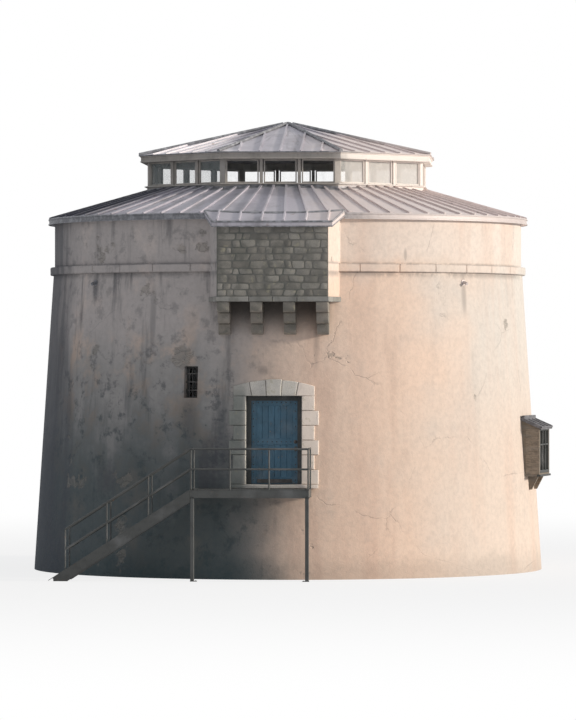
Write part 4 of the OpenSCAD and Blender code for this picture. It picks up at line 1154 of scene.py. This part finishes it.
def sillPlace(p, q, d):
    x = -sill["half"] + p
    worn = sill["worn"] * math.exp(-(x / sill["wornHalf"]) ** 2) * (q / 0.09)
    front = math.sqrt((faceRadius(sill["level"]) + sill["proud"]) ** 2 - x * x)
    return Vector((x, -(front - d * (front - door["rebate"]) / sill["deep"]), sill["low"] + q - worn))


bm = startMesh()
stone(bm, sillPlace, (2 * sill["half"], sill["high"], sill["deep"]), (14, 2), 0.014, 0.006, 0.6)
addPiece("sillStone", bm, "surround", hides=("door_sill",))
print("doorway stones")

# Door leaf

leaf = {"stile": 0.13, "sink": 0.014, "boards": 6, "bead": 0.020, "railStuds": 8, "stileStuds": 11,
        "studRadius": 0.014, "studHeight": 0.010, "bare": 0.30}
low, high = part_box("door_leaf")
left = low.x + leaf["stile"]
right = high.x - leaf["stile"]
panelHeight = (high.z - low.z - 3 * leaf["stile"]) / 2
boardWide = (right - left) / leaf["boards"]
bm = startMesh()
bar(bm, low, (left, high.y, high.z), 0.004, 0.35)
bar(bm, (right, low.y, low.z), high, 0.004, 0.55)
for i in range(3):
    z0 = low.z + i * (panelHeight + leaf["stile"])
    bar(bm, (left, low.y + 0.001, z0), (right, high.y - 0.001, z0 + leaf["stile"]), 0.004, toneOf(i, 3))
for i in range(2):
    z0 = low.z + leaf["stile"] + i * (panelHeight + leaf["stile"])
    z1 = z0 + panelHeight
    for k in range(leaf["boards"]):
        x0 = left + k * boardWide
        bar(bm, (x0 + 0.001, low.y + leaf["sink"], z0 - 0.002),
            (x0 + boardWide - 0.001, high.y - 0.004, z1 + 0.002), 0.006, toneOf(i, k, 5))
    sashFrame(bm, (left, right), (z0, z1), (low.y + 0.003, low.y + leaf["sink"] + 0.002), leaf["bead"],
              (0.5, 0.5, 0.5), 0.0055)
addPiece("boardedLeaf", bm, "door", body="door", hides=("door_leaf",))

places = []
inset = leaf["stile"] / 2
middleZ = (low.z + high.z) / 2
for z in (low.z + inset, low.z + inset + panelHeight + leaf["stile"], high.z - inset):
    for k in range(leaf["railStuds"]):
        x = left + 0.05 + (right - left - 0.1) * k / (leaf["railStuds"] - 1)
        places.append(((x, low.y + 0.001, z), (0, -1, 0)))
for x in (low.x + inset, high.x - inset):
    for k in range(leaf["stileStuds"]):
        z = low.z + 0.09 + (high.z - low.z - 0.18) * k / (leaf["stileStuds"] - 1)
        if abs(z - middleZ) > leaf["bare"] or x < 0:  # none round the knob and the lock
            places.append(((x, low.y, z), (0, -1, 0)))
studs = runTree(trees["stud"], "doorStuds", headPoints("doorStudPoints", places),
                Radius=leaf["studRadius"], Height=leaf["studHeight"])
addPiece("doorStuds", studs, "iron", body="door")

# The lock's plate with its keyhole, and a plate across the leaf's foot
bm = startMesh()
lockX = high.x - inset
lockZ = middleZ - 0.17
bar(bm, (lockX - 0.026, low.y - 0.004, lockZ - 0.058), (lockX + 0.026, low.y + 0.002, lockZ + 0.058), 0.002)
tube(bm, [(lockX, low.y - 0.006, lockZ + 0.012), (lockX, low.y, lockZ + 0.012)], 0.011, 16)
bar(bm, (lockX - 0.005, low.y - 0.0055, lockZ - 0.030), (lockX + 0.005, low.y, lockZ + 0.010), 0.001)
bar(bm, (left + 0.02, low.y - 0.003, low.z + 0.018), (right - 0.02, low.y + 0.002, low.z + 0.112), 0.0015)
addPiece("lockPlate", bm, "iron", body="door")
print("door")

# Slot windows

slot = {"azimuths": (-19.4, 124.0, -124.0), "low": 4.30, "high": 5.05, "half": 0.175, "stock": 0.045,
        "frameOut": 5.838, "frameIn": 5.768, "rail": (4.664, 4.686), "bars": (-0.088, 0.0, 0.088),
        "barOut": 5.905, "barRadius": 0.010, "flats": (4.48, 4.675, 4.87), "flatOut": 5.922, "flatIn": 5.912}
frames = startMesh()
grilles = startMesh()
h, s = slot["half"], slot["stock"]
y0, y1 = -slot["frameOut"], -slot["frameIn"]
railLow, railHigh = slot["rail"]
for azimuth in slot["azimuths"]:
    turn = Matrix.Rotation(math.radians(azimuth), 4, "Z")
    sashFrame(frames, (-h, h), (slot["low"], slot["high"]), (y0, y1), s,
              (toneOf(azimuth, -h), toneOf(azimuth, h - s), 0.5), turn=turn)
    bar(frames, (-h + s, y0 + 0.012, railLow), (h - s, y1 - 0.012, railHigh), 0.005, 0.5, turn)
    bar(frames, (-0.010, y0 + 0.014, slot["low"] + s), (0.010, y1 - 0.014, slot["high"] - s),
        0.004, 0.5, turn)
    for x in slot["bars"]:
        ends = [turn @ Vector((x, -slot["barOut"], z)) for z in (slot["low"] - 0.01, slot["high"] + 0.01)]
        tube(grilles, ends, slot["barRadius"])
    for z in slot["flats"]:
        bar(grilles, (-h - 0.01, -slot["flatOut"], z - 0.012), (h + 0.01, -slot["flatIn"], z + 0.012),
            0.002, 0.5, turn)
addPiece("slotFrames", frames, "frame", hides=("slot_window_frames",))
addPiece("slotBars", grilles, "iron")

# Side window

bay = {"azimuth": 80.0, "half": 0.70, "board": 0.08, "front": 6.501, "low": 2.34, "sill": 2.42, "hood": 3.52,
       "fall": 0.17 / 0.39, "over": 0.06, "hoodDeep": 0.36, "stock": 0.05, "posts": (-0.225, 0.175),
       "rail": (3.10, 3.135), "boards": 6, "boardStep": 0.185, "boardHigh": 0.180, "nailRadius": 0.006,
       "nailHeight": 0.004}
turn = Matrix.Rotation(math.radians(bay["azimuth"]), 4, "Z")
bm = startMesh()
inside = bay["half"] - bay["board"]
y0, y1 = -bay["front"] - 0.004, -bay["front"] + 0.062
sillZ = bay["sill"] + 0.07
headZ = bay["hood"] + 0.02
bar(bm, (-inside, y0, bay["sill"]), (inside, y1, sillZ), 0.008, 0.3, turn)
bar(bm, (-inside, y0, headZ - 0.08), (inside, y1, headZ), 0.008, 0.7, turn)
for x in (-inside, *bay["posts"], inside - bay["stock"]):
    bar(bm, (x, y0 + 0.004, sillZ), (x + bay["stock"], y1, headZ - 0.08), 0.006, toneOf(x), turn)
railLow, railHigh = bay["rail"]
bar(bm, (-inside + bay["stock"], y0 + 0.010, railLow), (inside - bay["stock"], y1 - 0.01, railHigh),
    0.006, 0.5, turn)
bar(bm, (-bay["half"] - 0.03, y0 - 0.03, bay["low"] - 0.004), (bay["half"] + 0.03, y1, bay["low"] + 0.045),
    0.010, 0.4, turn)
addPiece("sideSashes", bm, "frame")

bm = startMesh()
nails = []
for k in range(bay["boards"]):
    z0 = bay["low"] + 0.06 + k * bay["boardStep"]
    for way in (-1, 1):
        x = way * (bay["half"] + 0.010)
        near, far = sorted((x - way * 0.014, x))
        bar(bm, (near, -bay["front"] + 0.004, z0), (far, -bay["front"] + 0.34, z0 + bay["boardHigh"]),
            0.005, toneOf(k, way, 21), turn)
        for y, up in itertools.product((-bay["front"] + 0.03, -bay["front"] + 0.20), (0.04, 0.14)):
            nails.append((turn @ Vector((x, y, z0 + up)), turn @ Vector((way, 0, 0))))
addPiece("cheekBoards", bm, "boards")
nailHeads = runTree(trees["stud"], "boardNails", headPoints("nailPoints", nails),
                    Radius=bay["nailRadius"], Height=bay["nailHeight"])
addPiece("boardNails", nailHeads, "iron")

bm = startMesh()
edge = bay["half"] + bay["over"]
rear = bay["front"] - bay["hoodDeep"]
eave = bay["front"] + bay["over"]


def hoodTop(y):
    return bay["hood"] + (bay["front"] - y) * bay["fall"] + 0.06


for x in (-edge + 0.02, -0.25, 0.25, edge - 0.02):
    tube(bm, [turn @ Vector((x, -y, hoodTop(y) + 0.006)) for y in (eave + 0.004, rear)], 0.024, 10)
tube(bm, [turn @ Vector((x, -eave, hoodTop(eave) - 0.006)) for x in (-edge, edge)], 0.022, 10)
bar(bm, (-edge, -rear - 0.01, hoodTop(rear) - 0.01), (edge, -rear + 0.06, hoodTop(rear) + 0.10),
    0.01, 0.5, turn)
addPiece("hoodRolls", bm, "hood")
print("windows")

# Stair

stair = {"left": -1.90, "right": 0.90, "front": 7.29, "inner": 6.27, "top": 2.16, "going": 0.28, "rise": 0.18,
         "treads": 11, "stringer": 0.04, "stringerDrop": 0.30, "leg": 0.10, "deckDeep": 0.20, "flange": 0.014,
         "joists": (-1.0, -0.1), "joistRear": -6.15, "treadBars": 9, "treadRods": 9, "deckBars": 88,
         "deckRods": 10, "boltRadius": 0.011, "boltHeight": 0.008}
left, right, front, leg = stair["left"], stair["right"], -stair["front"], stair["leg"]
y0, y1 = front + stair["stringer"], -stair["inner"] - stair["stringer"]
firstX, firstZ = left - stair["going"], stair["top"] - stair["rise"]
bars = runTree(trees["row"], "treadBars", Count=stair["treadBars"], Step=(0.030, 0, 0),
               Start=(firstX + 0.050, (y0 + y1) / 2, firstZ - 0.020), Size=(0.005, y1 - y0 - 0.02, 0.036))
rods = runTree(trees["row"], "treadRods", Count=stair["treadRods"], Step=(0, 0.10, 0),
               Start=(firstX + 0.155, y0 + 0.07, firstZ - 0.006), Size=(0.27, 0.008, 0.008))
bm = startMesh()
bar(bm, (firstX, y0, firstZ - 0.040), (firstX + 0.030, y1, firstZ + 0.001), 0.003, 0.3)
bar(bm, (firstX + 0.288, y0, firstZ - 0.038), (firstX + 0.298, y1, firstZ - 0.002), 0.002, 0.7)
for y in (y0, y1 - 0.008):
    bar(bm, (firstX, y, firstZ - 0.075), (firstX + 0.298, y + 0.008, firstZ - 0.001), 0.002, 0.5)
tread = joinMeshes("tread", [bars, rods, endMesh(bm, "treadFrame")])
treads = runTree(trees["copy"], "gratedTreads", tread, Count=stair["treads"],
                 Step=(-stair["going"], 0, -stair["rise"]))
addPiece("gratedTreads", treads, "steel", hides=("stair_treads",))

deckBars = runTree(trees["deck"], "deckBars", Count=stair["deckBars"], Start=left + 0.115, Pitch=0.0295,
                   Front=stair["front"] - 0.10, Wall=faceRadius(2.12) - 0.01, Top=stair["top"] - 0.003,
                   Thick=0.006, Deep=0.045)
deckRods = runTree(trees["row"], "deckRods", Count=stair["deckRods"], Step=(0, 0.10, 0),
                   Start=((left + right) / 2, front + 0.15, stair["top"] - 0.008),
                   Size=(right - left - 0.18, 0.008, 0.008))
bm = startMesh()
z0, z1 = stair["top"] - stair["deckDeep"], stair["top"]
# Edge beams: a web with two flanges
for (ax, ay), (bx, by) in (((left, front), (right, front + leg)), ((left, front), (left + leg, -6.0)),
                           ((right - leg, front), (right, -6.05))):
    for low, high in ((z0, z0 + stair["flange"]), (z1 - stair["flange"], z1)):
        bar(bm, (ax, ay, low), (bx, by, high), 0.003, 0.4)
    if bx - ax > by - ay:
        bar(bm, (ax + 0.002, ay + 0.006, z0), (bx - 0.002, ay + 0.018, z1), 0.003, 0.6)
    else:
        outer = ax + 0.006 if ax < 0 else bx - 0.018
        bar(bm, (outer, ay + 0.002, z0), (outer + 0.012, by, z1), 0.003, 0.6)
for x in stair["joists"]:  # under the bars
    bar(bm, (x - 0.03, front + 0.02, z0 + 0.02), (x + 0.03, stair["joistRear"], z0 + 0.032), 0.002, 0.5)
    bar(bm, (x - 0.005, front + 0.02, z0 + 0.02), (x + 0.005, stair["joistRear"], z1 - 0.050), 0.002, 0.5)
for x in (left, right - leg):  # legs: hollow section, foot plate and cap
    inwards = (0.0, 0.06) if x < 0 else (0.06, 0.0)
    bar(bm, (x + 0.006, front + 0.006, 0.012), (x + leg - 0.006, front + leg - 0.006, z0),
        0.008, toneOf(x, 4))
    bar(bm, (x - inwards[0], front, 0.0), (x + leg + inwards[1], front + leg + 0.06, 0.014), 0.003, 0.5)
    bar(bm, (x, front, z0 - 0.012), (x + leg, front + leg, z0), 0.003, 0.5)
steelDeck = joinMeshes("steelDeck", [deckBars, deckRods, endMesh(bm, "deckFrame")])
addPiece("steelDeck", steelDeck, "steel", hides=("stair_landing",))

# Flanges of the stringers, along their upper and lower edges
bm = startMesh()
slope = stair["rise"] / stair["going"]
lowerTop = stair["top"] - stair["stringerDrop"]
for y in (front - 0.004 + 0.03, -stair["inner"] - stair["stringer"] - 0.018 + 0.03):
    for start, end in (((left, y, stair["top"] - 0.006), (left - stair["top"] / slope + 0.02, y, 0.018)),
                       ((left, y, lowerTop + 0.006), (left - lowerTop / slope, y, 0.006))):
        beam(bm, start, end, 0.062, 0.012, 0.003, 0.4)
addPiece("stringerFlanges", bm, "steel")

places = []
for i in range(stair["treads"]):
    x, z = firstX - i * stair["going"], firstZ - i * stair["rise"]
    for dx in (0.07, 0.23):
        places.append(((x + dx, front - 0.002, z - 0.04), (0, -1, 0)))
        places.append(((x + dx, -stair["inner"] + 0.002, z - 0.04), (0, 1, 0)))
for x in (left, right - leg):
    for dx, dy in ((0.13, 0.03), (0.13, 0.13), (0.03, 0.13)):
        places.append(((x + (dx if x < 0 else leg - dx), front + dy, 0.014), (0, 0, 1)))
    for dz in (0.05, 0.15):
        places.append(((x + 0.05, front + 0.004, z0 + dz), (0, -1, 0)))
bolts = runTree(trees["bolt"], "stairBolts", headPoints("boltPoints", places),
                Radius=stair["boltRadius"], Height=stair["boltHeight"])
addPiece("stairBolts", bolts, "steel")
print("stair")

# Drain spouts

spout = {"azimuths": (-49.3, 49.3, 131.0, -131.0), "z": 7.07, "radius": 0.038, "out": 0.13, "collar": 1.9}
bm = startMesh()
r = faceRadius(spout["z"])
for azimuth in spout["azimuths"]:
    tube(bm, [around(azimuth, r - 0.10, spout["z"] + 0.02), around(azimuth, r + 0.03, spout["z"]),
              around(azimuth, r + spout["out"], spout["z"] - 0.035)], spout["radius"], 14)
    tube(bm, [around(azimuth, r - 0.02, spout["z"]), around(azimuth, r + 0.014, spout["z"])],
         spout["radius"] * spout["collar"], 18)
addPiece("drainSpouts", bm, "lead")
print("spouts")

# Camera, light and floor

view = {"azimuth": 3.2, "distance": 117.0, "height": 5.2, "lens": 234.0, "sensor": 36.0, "reach": 1000}
camera = bpy.data.cameras.new("camera")
camera.sensor_fit = "AUTO"
camera.sensor_width = view["sensor"]
camera.lens = view["lens"]
camera.clip_end = view["reach"]
cameraObject = bpy.data.objects.new("camera", camera)
cameraObject.location = around(view["azimuth"], view["distance"], view["height"])
cameraObject.rotation_euler = (math.radians(90), 0, math.radians(view["azimuth"]))
scene.collection.objects.link(cameraObject)
scene.camera = cameraObject

light = {"azimuth": 84.0, "elevation": 12.5, "strength": 2.95, "softness": 6.0, "colour": (1.0, 0.91, 0.80),
         "fill": 0.38}
sun = bpy.data.lights.new("sun", "SUN")
sun.energy = light["strength"]
sun.angle = math.radians(light["softness"])
sun.color = light["colour"]
sunObject = bpy.data.objects.new("sun", sun)
elevation = math.radians(light["elevation"])
towards = around(light["azimuth"], math.cos(elevation), math.sin(elevation))
sunObject.rotation_euler = towards.to_track_quat("Z", "Y").to_euler()
scene.collection.objects.link(sunObject)

world = bpy.data.worlds.new("world")
scene.world = world
world.use_nodes = True
world.node_tree.nodes.clear()
sky = Graph(world.node_tree)
seen = sky.ray("Is Camera Ray").math("MAXIMUM", sky.ray("Is Glossy Ray"))
seen = seen.math("MAXIMUM", sky.ray("Is Transmission Ray"))
skyColour = sky.mix(seen, (0.95, 0.98, 1.06), (1, 1, 1))
strength = light["fill"] + seen * (1 - light["fill"])
skyLight = sky.add("ShaderNodeBackground", {"Color": skyColour, "Strength": strength})
sky.add("ShaderNodeOutputWorld", {"Surface": skyLight})

ground = {"half": 400, "level": -0.002, "tone": 0.86, "clearNear": 9, "clearFar": 45}
floorMesh = bpy.data.meshes.new("floor")
half = ground["half"]
corners = [(x, y, ground["level"]) for x, y in ((-half, -half), (half, -half), (half, half), (-half, half))]
floorMesh.from_pydata(corners, [], [(0, 1, 2, 3)])
floor = bpy.data.objects.new("floor", floorMesh)
scene.collection.objects.link(floor)
floorMaterial, pale = startMaterial("paleFloor")
bright = pale.add("ShaderNodeEmission", {"Color": (1, 1, 1), "Strength": 1.0})
matt = pale.add("ShaderNodeBsdfDiffuse", {"Color": (ground["tone"],) * 3})
away = pale.length(pale.place())
# The shadow stays, the horizon goes
clear = pale.sweep(away, ground["clearNear"], ground["clearFar"]) * 0.2 + 0.8
mixed = pale.add("ShaderNodeMixShader", (pale.ray("Is Camera Ray") * clear, matt, bright))
pale.add("ShaderNodeOutputMaterial", {"Surface": mixed})
floorMesh.materials.append(floorMaterial)
print("camera, light and floor")
